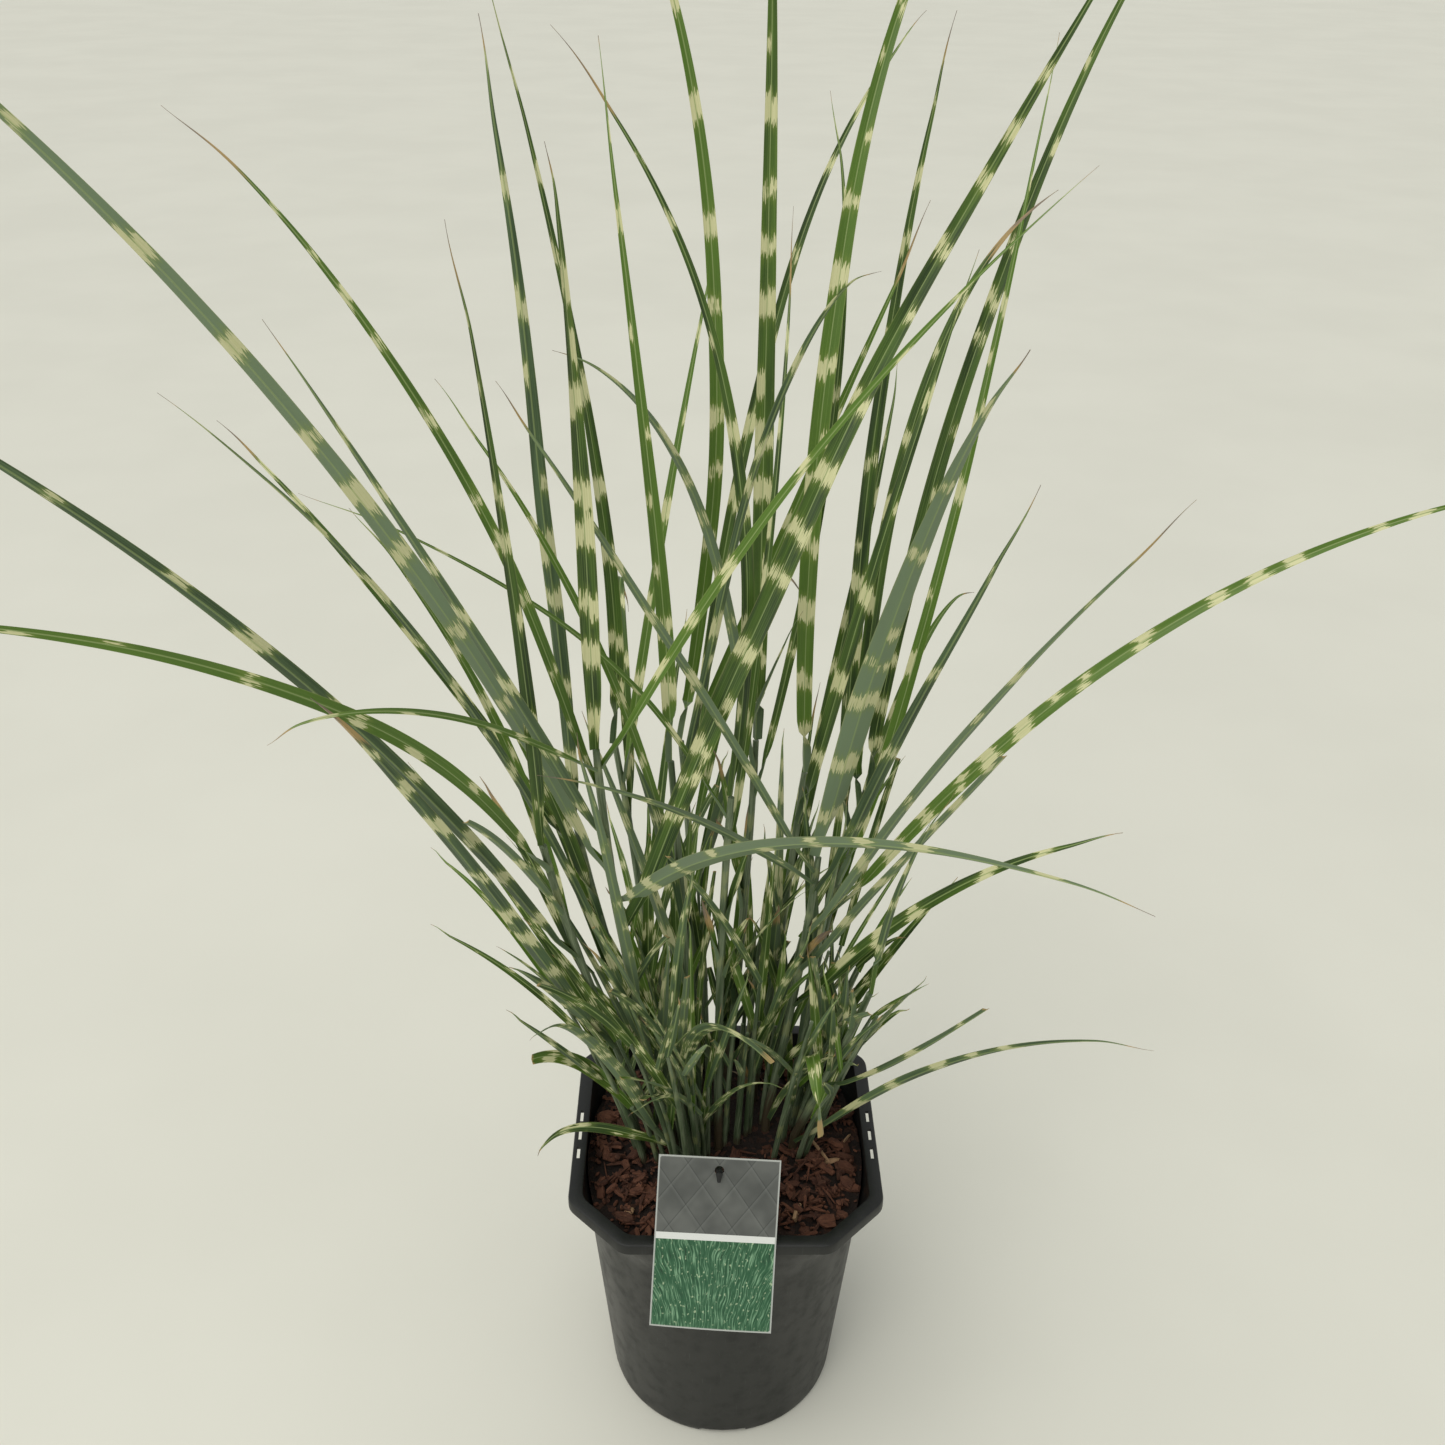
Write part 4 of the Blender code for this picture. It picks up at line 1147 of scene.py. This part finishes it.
@dataclass
class NurseryPot:
    """The pot: a round body that turns into flat sides and corner facets under a square lip."""

    width: float = 220 * MM
    chamfer: float = 39 * MM
    corner_round: float = 6 * MM
    height: float = 235 * MM
    lip_reach: float = 7 * MM
    lip_width: float = 10 * MM
    lip_depth: float = 8.5 * MM
    lip_plate: float = 2.5 * MM
    wall: float = 1.5 * MM
    base_radius: float = 86.5 * MM
    shoulder_radius: float = 103 * MM
    shoulder_height: float = 188 * MM
    disc_radius: float = 58 * MM
    channel_radius: float = 78 * MM
    channel_height: float = 6 * MM
    floor: float = 2 * MM
    step_height: float = 220.5 * MM  # where the wall steps out a little under the lip

    def outline(self, inset: float) -> list[Vector]:
        """The square with cut, rounded corners that the lip has, moved in by an inset."""
        half = self.width / 2 - inset
        corner = (self.width - self.chamfer) / math.sqrt(2) - inset
        reach = corner * math.sqrt(2) - half
        corners = [Vector(c) for c in (
            (half, -reach), (half, reach), (reach, half), (-reach, half))]
        corners += [-c for c in corners]
        points = []
        for i, here in enumerate(corners):
            following = corners[(i + 1) % 8]
            before = corners[i - 1]
            into = here + (before - here).normalized() * self.corner_round
            out = here + (following - here).normalized() * self.corner_round
            points += [into.lerp(here, s / 4).lerp(here.lerp(out, s / 4), s / 4)
                       for s in range(5)]
            far = following + (here - following).normalized() * self.corner_round
            steps = 12 if i % 2 == 0 else 7
            points += [out.lerp(far, s / steps) for s in range(1, steps)]
        return points

    def ring(self, z: float, inset: float, radius: float, share: float) -> list[Vector]:
        """One level of the wall, between a circle and the faceted outline."""
        return [Vector((*(p.normalized() * radius).lerp(p, share), z))
                for p in self.outline(inset)]

    def body(self, z: float, inward: float) -> list[Vector]:
        """The wall's level at a height, moved in by a thickness from its outer face."""
        top = self.height - self.lip_plate
        share = min(max((z - self.shoulder_height) / (top - self.shoulder_height), 0.0), 1.0)
        spread = self.shoulder_radius - self.base_radius
        radius = self.base_radius + spread * z / self.shoulder_height
        return self.ring(z, self.lip_reach + inward, radius - inward, share)

    def circle(self, z: float, radius: float) -> list[Vector]:
        """A round level with as many points as the wall has."""
        return self.ring(z, 0, radius, 0)

    def rings(self) -> list[list[Vector]]:
        """Every level of the pot's skin, from the base's disc up the wall and down the inside."""
        under = self.height - self.lip_plate
        skirt = self.height - self.lip_depth
        floor_top = self.channel_height + self.floor
        levels = [9 * MM + (under - 9 * MM) * k / 26 for k in range(27)]
        made = [
            self.circle(0, self.disc_radius - 0.6 * MM),
            self.circle(0.6 * MM, self.disc_radius),
            self.circle(self.channel_height, self.disc_radius + 2 * MM),
            self.circle(self.channel_height, self.channel_radius - 2 * MM),
            self.circle(0.6 * MM, self.channel_radius),
            self.circle(0, self.channel_radius + 0.6 * MM),
            self.circle(0, self.base_radius - 2.6 * MM),
            self.circle(0.5 * MM, self.base_radius - 1.2 * MM),
            self.circle(2.0 * MM, self.base_radius - 0.2 * MM),
            self.body(5 * MM, 0),
        ]
        made += [self.body(z, 0 if z < self.step_height else -0.5 * MM) for z in levels]
        made += [
            self.ring(under, self.wall + 0.4 * MM, 0, 1),
            self.ring(under - 0.5 * MM, self.wall, 0, 1),
            self.ring(skirt + 0.4 * MM, self.wall, 0, 1),
            self.ring(skirt, self.wall - 0.4 * MM, 0, 1),
            self.ring(skirt, 0.4 * MM, 0, 1),
            self.ring(skirt + 0.4 * MM, 0, 0, 1),
            self.ring(self.height - 1.6 * MM, 0, 0, 1),
            self.ring(self.height - 0.5 * MM, 0.5 * MM, 0, 1),
            self.ring(self.height, 1.6 * MM, 0, 1),
            self.ring(self.height, self.lip_width - 1.2 * MM, 0, 1),
            self.ring(self.height - 0.4 * MM, self.lip_width - 0.3 * MM, 0, 1),
            self.ring(self.height - 1.2 * MM, self.lip_width, 0, 1),
            self.ring(under, self.lip_width, 0, 1),
        ]
        made += [self.body(z, self.wall) for z in reversed(levels)]
        made += [
            self.circle(floor_top, self.base_radius - self.wall - 2 * MM),
            self.circle(floor_top, self.disc_radius),
            self.circle(self.floor, self.disc_radius - 2 * MM),
        ]
        return made

    def cutters(self) -> list[bpy.types.Object]:
        """The blocks and drills that cut the lip's slots, the notches and the drain holes."""
        made = []

        def block(at: Vector, size: Vector, turn: float) -> None:
            """Adds one block-shaped cutter."""
            bpy.ops.mesh.primitive_cube_add(size=1, location=at, rotation=(0, 0, turn))
            bpy.context.object.scale = size
            made.append(bpy.context.object)

        for side in (-1, 1):
            for y in (10, -8, -26):
                at = Vector((side * (self.width / 2 - (self.lip_reach + self.wall) / 2), y * MM,
                             self.height))
                block(at, Vector((2.4 * MM, 11 * MM, 4 * self.lip_plate)), 0)
        foot = (self.channel_radius + self.base_radius) / 2
        for quarter in range(4):
            turn = math.pi / 2 * quarter
            deep = self.channel_height - 1.5 * MM
            at = Vector((math.cos(turn) * foot, math.sin(turn) * foot, deep / 2 - 5 * MM))
            block(at, Vector((14 * MM, 35 * MM, deep + 10 * MM)), turn)
        middle = (self.disc_radius + self.channel_radius) / 2
        for k in range(6):
            turn = math.radians(30 + 60 * k)
            bpy.ops.mesh.primitive_cylinder_add(
                vertices=28, radius=5 * MM, depth=10 * MM,
                location=(middle * math.cos(turn), middle * math.sin(turn), self.channel_height))
            made.append(bpy.context.object)
        return made

    def build(self) -> None:
        """Builds the pot and cuts its slots, notches and holes."""
        skin = Skin()
        nothing = (0.0, 0.0, 0.0)
        rings = [[skin.point(p, nothing, nothing) for p in ring] for ring in self.rings()]
        skin.tube(rings, lambda i: 0)
        piece = skin.piece("nursery_pot", (POT_PLASTIC,), sharp=35.0)
        for cutter in self.cutters():
            modifier = piece.modifiers.new(cutter.name, "BOOLEAN")
            modifier.object = cutter
            modifier.operation = "DIFFERENCE"
            with bpy.context.temp_override(object=piece, active_object=piece):
                bpy.ops.object.modifier_apply(modifier=modifier.name)
            bpy.data.objects.remove(cutter)
        piece.data.set_sharp_from_angle(angle=math.radians(35))
        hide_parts("pot")

    def reach(self, x: float, y: float, z: float) -> float:
        """How far the wall's inner face lies from the pot's axis, towards a place.

        Args:
            x: The place.
            y: The place.
            z: The height at which to look.

        Returns:
            The distance in metres.
        """
        way = Vector((x, y)).normalized()
        nearest = max(self.body(z, self.wall), key=lambda p: p.to_2d().normalized().dot(way))
        return nearest.to_2d().length


@dataclass
class PottedGround:
    """What fills the pot: the soil with its root crown, and the bark chips on it."""

    pot: NurseryPot
    level: float = 213 * MM
    crown_centre: tuple[float, float] = (0.0, 28 * MM)
    crown_wide: float = 70 * MM
    crown_deep: float = 58 * MM
    cell: float = 2 * MM
    chips: int = 1100
    crumbs: int = 1100
    seed: int = 5
    wall_level: float = 211 * MM     # height at which the chips keep clear of the wall
    heap_top: float = 224.5 * MM

    def crown_share(self, x: float, y: float) -> float:
        """How far out a place is from the crown's middle: 1 at its edge."""
        return math.hypot((x - self.crown_centre[0]) / self.crown_wide,
                          (y - self.crown_centre[1]) / self.crown_deep)

    def build_soil(self) -> None:
        """Builds the crumbly soil, which shows between the stems and under the chips."""
        skin = Skin()
        nothing = (0.0, 0.0, 0.0)
        edge = self.pot.body(self.level - 5 * MM, self.pot.wall + 1.2 * MM)
        top = []
        for k in range(1, 41):
            share = k / 40
            row = []
            for p in edge:
                x, y = p.x * share, p.y * share
                z = self.level - 3 * MM if self.crown_share(x, y) > 1.0 else self.level
                z += 2.2 * MM * noise.fractal(Vector((x, y, 0)) * 110, 1.0, 2.0, 4)
                row.append(skin.point(Vector((x, y, z)), nothing, nothing))
            top.append(row)
        low = [skin.point(Vector((p.x, p.y, 190 * MM)), nothing, nothing)
               for p in self.pot.circle(190 * MM, 99 * MM)]
        deep = [skin.point(Vector((p.x, p.y, 9 * MM)), nothing, nothing)
                for p in self.pot.circle(9 * MM, 82 * MM)]
        skin.tube([deep, low, *reversed(top)], lambda i: 0)
        piece = skin.piece("potting_soil", (SOIL,))
        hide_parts("potting_mix")

    def chip(self, skin: Skin, draw: random.Random, at: Vector, turn: Matrix,
             size: Vector, pale: float) -> None:
        """Adds one bark chip: a broken plate with a jagged outline and worn edges.

        Args:
            skin: The mesh it becomes part of.
            draw: The random numbers to use.
            at: Its middle.
            turn: How it lies.
            size: Its length, width and thickness.
            pale: How much bare pale wood it shows.
        """
        count = draw.choice((5, 6, 7, 9))
        seed = draw.random() * 40
        shade = draw.random()
        radii = [draw.uniform(0.66, 1.12) for _ in range(count)]
        start = draw.random()
        form = (0.15 + 0.85 * shade, pale, 0.0)

        def ring(scale: float, height: float, rough: float) -> list[int]:
            """Adds one outline of the chip."""
            row = []
            for i in range(count):
                angle = 2 * math.pi * (i + start) / count
                reach = radii[i] * scale
                # A torn outline is squarer than an oval.
                square = 1 / max(abs(math.cos(angle)), abs(math.sin(angle))) ** 0.55
                own = Vector((math.cos(angle) * reach * square * size.x / 2,
                              math.sin(angle) * reach * square * size.y / 2,
                              (height + draw.uniform(-rough, rough)) * size.z))
                row.append(skin.point(at + turn @ own, tuple(own + Vector((seed, seed, seed))),
                                      form))
            return row

        rings = [ring(0.86, -0.5, 0.05), ring(1.0, -0.25, 0.1), ring(0.96, 0.25, 0.15),
                 ring(0.86, 0.5, 0.15), ring(0.45, 0.52, 0.15)]
        skin.tube(rings, lambda i: 0)

    def build_mulch(self) -> None:
        """Heaps the chips, each on what already lies where it falls."""
        draw = random.Random(self.seed)
        heap: dict[tuple[int, int], float] = {}
        skin = Skin()

        def ground(x: float, y: float) -> float:
            """The height of the heap at a place."""
            bed = self.level - (2 * MM if self.crown_share(x, y) > 1 else 0)
            return heap.get((round(x / self.cell), round(y / self.cell)), bed)

        for k in range(self.chips + self.crumbs):
            crumb = k % 2 == 1 and k // 2 < self.crumbs
            if crumb:
                long = draw.uniform(2.0, 5.5) * MM
                size = Vector((long, long * draw.uniform(0.4, 0.8), long * draw.uniform(0.25, 0.5)))
            elif draw.random() < 0.4:
                long = draw.uniform(10, 26) * MM
                size = Vector((long, draw.uniform(1.2, 3.2) * MM, draw.uniform(0.9, 2.0) * MM))
            else:
                long = draw.uniform(6, 18) * MM
                size = Vector((long, long * draw.uniform(0.3, 0.7), draw.uniform(1.2, 3.2) * MM))
            half = self.pot.width / 2
            x, y = draw.uniform(-half, half), draw.uniform(-half, half)
            spread = self.crown_share(x, y)
            room = self.pot.reach(x, y, self.wall_level) - math.hypot(x, y)
            if room < size.x * 0.5 + 0.5 * MM or spread < draw.uniform(0.55, 1.02):
                continue
            heading = draw.uniform(0, 2 * math.pi)
            ahead = Vector((math.cos(heading), math.sin(heading)))
            aside = Vector((-ahead.y, ahead.x))
            front = ground(*(Vector((x, y)) + ahead * size.x * 0.4))
            back = ground(*(Vector((x, y)) - ahead * size.x * 0.4))
            left = ground(*(Vector((x, y)) + aside * size.y * 0.4))
            right = ground(*(Vector((x, y)) - aside * size.y * 0.4))
            rest = max((front + back) / 2, (left + right) / 2, ground(x, y) - 0.5 * MM)
            rest = min(rest, self.heap_top)
            pitch = max(min(math.atan2(back - front, size.x * 0.8), 0.7), -0.7)
            roll = max(min(math.atan2(left - right, size.y * 0.8), 0.7), -0.7)
            pitch += draw.uniform(-0.28, 0.28)
            roll += draw.uniform(-0.6, 0.6)
            turn = (Matrix.Rotation(heading, 3, "Z") @ Matrix.Rotation(pitch, 3, "Y")
                    @ Matrix.Rotation(roll, 3, "X"))
            at = Vector((x, y, rest + size.z * 0.35))
            pale = 0.8 if draw.random() < 0.012 and not crumb else 0.0
            self.chip(skin, draw, at, turn, size, pale)
            reach = int(size.x / 2 / self.cell) + 1
            for i in range(-reach, reach + 1):
                for j in range(-reach, reach + 1):
                    spot = Vector((x + i * self.cell, y + j * self.cell))
                    gone = spot - Vector((x, y))
                    if abs(gone.dot(ahead)) < size.x / 2 and abs(gone.dot(aside)) < size.y / 2:
                        key = (round(spot.x / self.cell), round(spot.y / self.cell))
                        heap[key] = max(ground(spot.x, spot.y), rest + size.z * 0.72)
        piece = skin.piece("bark_chips", (BARK,), sharp=28.0)
        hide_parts("bark_mulch")

    def build(self) -> None:
        """Builds the soil and the mulch."""
        self.build_soil()
        self.build_mulch()


@dataclass
class HangingLabel:
    """The bare printed card over the pot's edge, and the peg that holds it."""

    wide: float = 82 * MM
    tall: float = 118 * MM
    thick: float = 0.6 * MM
    above_rim: float = 62 * MM
    lean: float = math.radians(27)
    tilt: float = math.radians(-3)
    hole_below: float = 9 * MM
    hole_radius: float = 3.2 * MM
    strip_share: float = 0.515       # how far up the card the pale strip begins
    strip_size: float = 4.6 * MM
    edge: Place = (-8 * MM, -110 * MM, 234 * MM)  # where the card rests on the lip
    peg_foot: float = 222.3 * MM     # height at which the peg stands in the mulch

    def axes(self) -> Matrix:
        """The card's own axes: origin at the lip, X across, Y up the card, Z outwards."""
        lean = Matrix.Rotation(math.pi / 2 - self.lean, 4, "X")
        clear = Matrix.Translation((0, 0, self.thick / 2 + GAP))
        return Matrix.Translation(self.edge) @ lean @ clear @ Matrix.Rotation(self.tilt, 4, "Z")

    def bow(self, x: float, y: float) -> float:
        """How far the thin card bows out of flat at a place."""
        down = smooth(0, -56 * MM, y)
        return down * (1.6 * MM * (x / 0.041) + 1.2 * MM * (1 - (x / 0.041) ** 2))

    def build_card(self) -> None:
        """Builds the card as a fine sheet with its hole, printed on the front."""
        axes = self.axes()
        low = self.above_rim - self.tall
        middle = low + self.tall * self.strip_share
        front = PrintedCard("label_card_printed", strip_low=middle,
                            strip_high=middle + self.strip_size)
        back = CardBack("label_card_back")
        shape = bmesh.new()
        bmesh.ops.create_grid(shape, x_segments=42, y_segments=60, size=0.5)
        for point in shape.verts:
            point.co = Vector((point.co.x * self.wide, low + (point.co.y + 0.5) * self.tall, 0))
        hole = Vector((0, self.above_rim - self.hole_below, 0))
        doomed = [p for p in shape.verts if (p.co - hole).length < self.hole_radius]
        bmesh.ops.delete(shape, geom=doomed, context="VERTS")
        edge = {p for e in shape.edges if e.is_boundary for p in e.verts}
        for point in edge:
            gone = point.co - hole
            if gone.length < self.hole_radius * 2.2:
                point.co = hole + gone.normalized() * self.hole_radius
        skin = Skin()
        number: dict[tuple[int, int], int] = {}
        for layer, sign in ((0, 0.5), (1, -0.5)):
            for point in shape.verts:
                x, y = point.co.x, point.co.y
                border = min(self.wide / 2 - abs(x), y - low, self.above_rim - y)
                at = axes @ Vector((x, y, sign * self.thick + self.bow(x, y)))
                rim = 1 - smooth(0.1 * MM, 0.6 * MM, border)
                number[layer, point.index] = skin.point(at, (x, y, 0.0), (0.0, 0.0, rim))
        for polygon in shape.faces:
            ids = [p.index for p in polygon.verts]
            skin.face([number[0, i] for i in ids], 0)
            skin.face([number[1, i] for i in reversed(ids)], 1)
        for line in shape.edges:
            if line.is_boundary:
                loop = line.link_loops[0]
                a, b = loop.vert.index, loop.link_loop_next.vert.index
                skin.face((number[0, b], number[0, a], number[1, a], number[1, b]), 1)
        shape.free()
        piece = skin.piece("care_label_card", (front, back), sharp=50.0)
        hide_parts("label_card")

    def build_peg(self) -> None:
        """Builds the peg: up from the mulch, through the card's hole, with its head outside."""
        axes = self.axes()
        hole = axes @ Vector((0, self.above_rim - self.hole_below, 0))
        outward = (axes.to_3x3() @ Vector((0, 0, 1))).normalized()
        down = (axes.to_3x3() @ Vector((0, -1, 0))).normalized()
        foot = Vector((hole.x, hole.y + 16 * MM, self.peg_foot))
        knots = [foot, foot + Vector((0, 0, 22 * MM)), foot + Vector((0, 0, 40 * MM)),
                 hole - outward * 4 * MM - down * MM, hole,
                 hole + outward * 3 * MM + down * MM, hole + outward * 3.3 * MM + down * 7 * MM]
        radii = [1.2, 1.3, 1.4, 1.9, 2.1, 2.3, 1.1]
        skin = Skin()
        rings = []
        side = Vector((1, 0, 0))
        for k, (knot, radius) in enumerate(zip(knots, radii)):
            ahead = knots[min(k + 1, len(knots) - 1)] - knots[max(k - 1, 0)]
            along = ahead.normalized()
            side = square_to(side, along)
            other = along.cross(side)
            rings.append([skin.point(
                knot + (side * math.cos(i * math.pi / 6) + other * math.sin(i * math.pi / 6) * 0.7)
                * radius * MM, (0.0, 0.0, 0.0), (0.0, 0.0, 0.0)) for i in range(12)])
        skin.tube(rings, lambda i: 0)
        piece = skin.piece("label_peg_moulded", (PEG_PLASTIC,))
        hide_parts("label_peg")

    def build(self) -> None:
        """Builds the card and its peg."""
        self.build_card()
        self.build_peg()


@dataclass
class Studio:
    """The plain pale floor, the soft light and the camera."""

    floor_size: float = 160.0
    camera_at: Place = (-0.0184, -0.80196, 1.045)
    camera_down: float = math.radians(30.2)
    camera_turn: float = math.radians(0.9)
    camera_roll: float = math.radians(0.76)
    focal_mm: float = 37.3           # on a frame 36 mm wide

    def build_floor(self) -> None:
        """Lays the floor."""
        bpy.ops.mesh.primitive_circle_add(vertices=128, radius=self.floor_size / 2,
                                          fill_type="NGON")
        floor = bpy.context.object
        floor.name = "studio_floor"
        floor.data.materials.append(material_of(FLOOR))

    def build_lights(self) -> None:
        """Hangs a wide soft light overhead and a fill in front, in a pale room."""
        world = bpy.data.worlds.new("pale_room")
        world.use_nodes = True
        bpy.context.scene.world = world
        ground = world.node_tree.nodes["Background"]
        ground.inputs["Color"].default_value = srgb("#eef0ee")
        ground.inputs["Strength"].default_value = 0.58
        for name, kind, at, power in (
            ("overhead_sky_panel", "SUN", (-0.9, -0.7, 3.0), 1.25),
            ("front_softbox", "AREA", (-1.6, -2.6, 2.0), 20.0),
        ):
            lamp = bpy.data.lights.new(name, kind)
            lamp.energy = power
            lamp.color = srgb("#fffdf8")[:3]
            if kind == "SUN":
                lamp.angle = math.radians(60)
            else:
                lamp.size = 1.8
            holder = bpy.data.objects.new(name, lamp)
            holder.location = at
            aim = Vector((0, 0, 0.5)) - Vector(at)
            holder.rotation_euler = aim.to_track_quat("-Z", "Y").to_euler()
            bpy.context.scene.collection.objects.link(holder)

    def build_camera(self) -> None:
        """Sets the camera up in front of the pot, looking down on it a little."""
        down, turn, tip = self.camera_down, self.camera_turn, self.camera_roll
        ahead = Vector((math.sin(turn) * math.cos(down), math.cos(turn) * math.cos(down),
                        -math.sin(down)))
        right = Vector((math.cos(turn), -math.sin(turn), 0))
        above = right.cross(ahead)
        tipped = right * math.cos(tip) + above * math.sin(tip)
        raised = above * math.cos(tip) - right * math.sin(tip)
        axes = Matrix((tipped, raised, -ahead)).transposed().to_4x4()
        lens = bpy.data.cameras.new("camera")
        lens.sensor_width = 36.0
        lens.lens = self.focal_mm
        lens.clip_end = 200.0
        camera = bpy.data.objects.new("camera", lens)
        camera.matrix_world = Matrix.Translation(self.camera_at) @ axes
        bpy.context.scene.collection.objects.link(camera)
        bpy.context.scene.camera = camera

    def build(self) -> None:
        """Builds the studio."""
        self.build_floor()
        self.build_lights()
        self.build_camera()
        bpy.context.scene.view_settings.view_transform = "Standard"


def main() -> None:
    """Builds every part in order; each piece logs how many faces it has as it is made."""
    logging.basicConfig(level=logging.INFO, format="%(name)s %(message)s")
    Studio().build()
    pot = NurseryPot()
    pot.build()
    PottedGround(pot).build()
    GrassClump().build()
    HangingLabel().build()


if __name__ == "__main__":
    main()
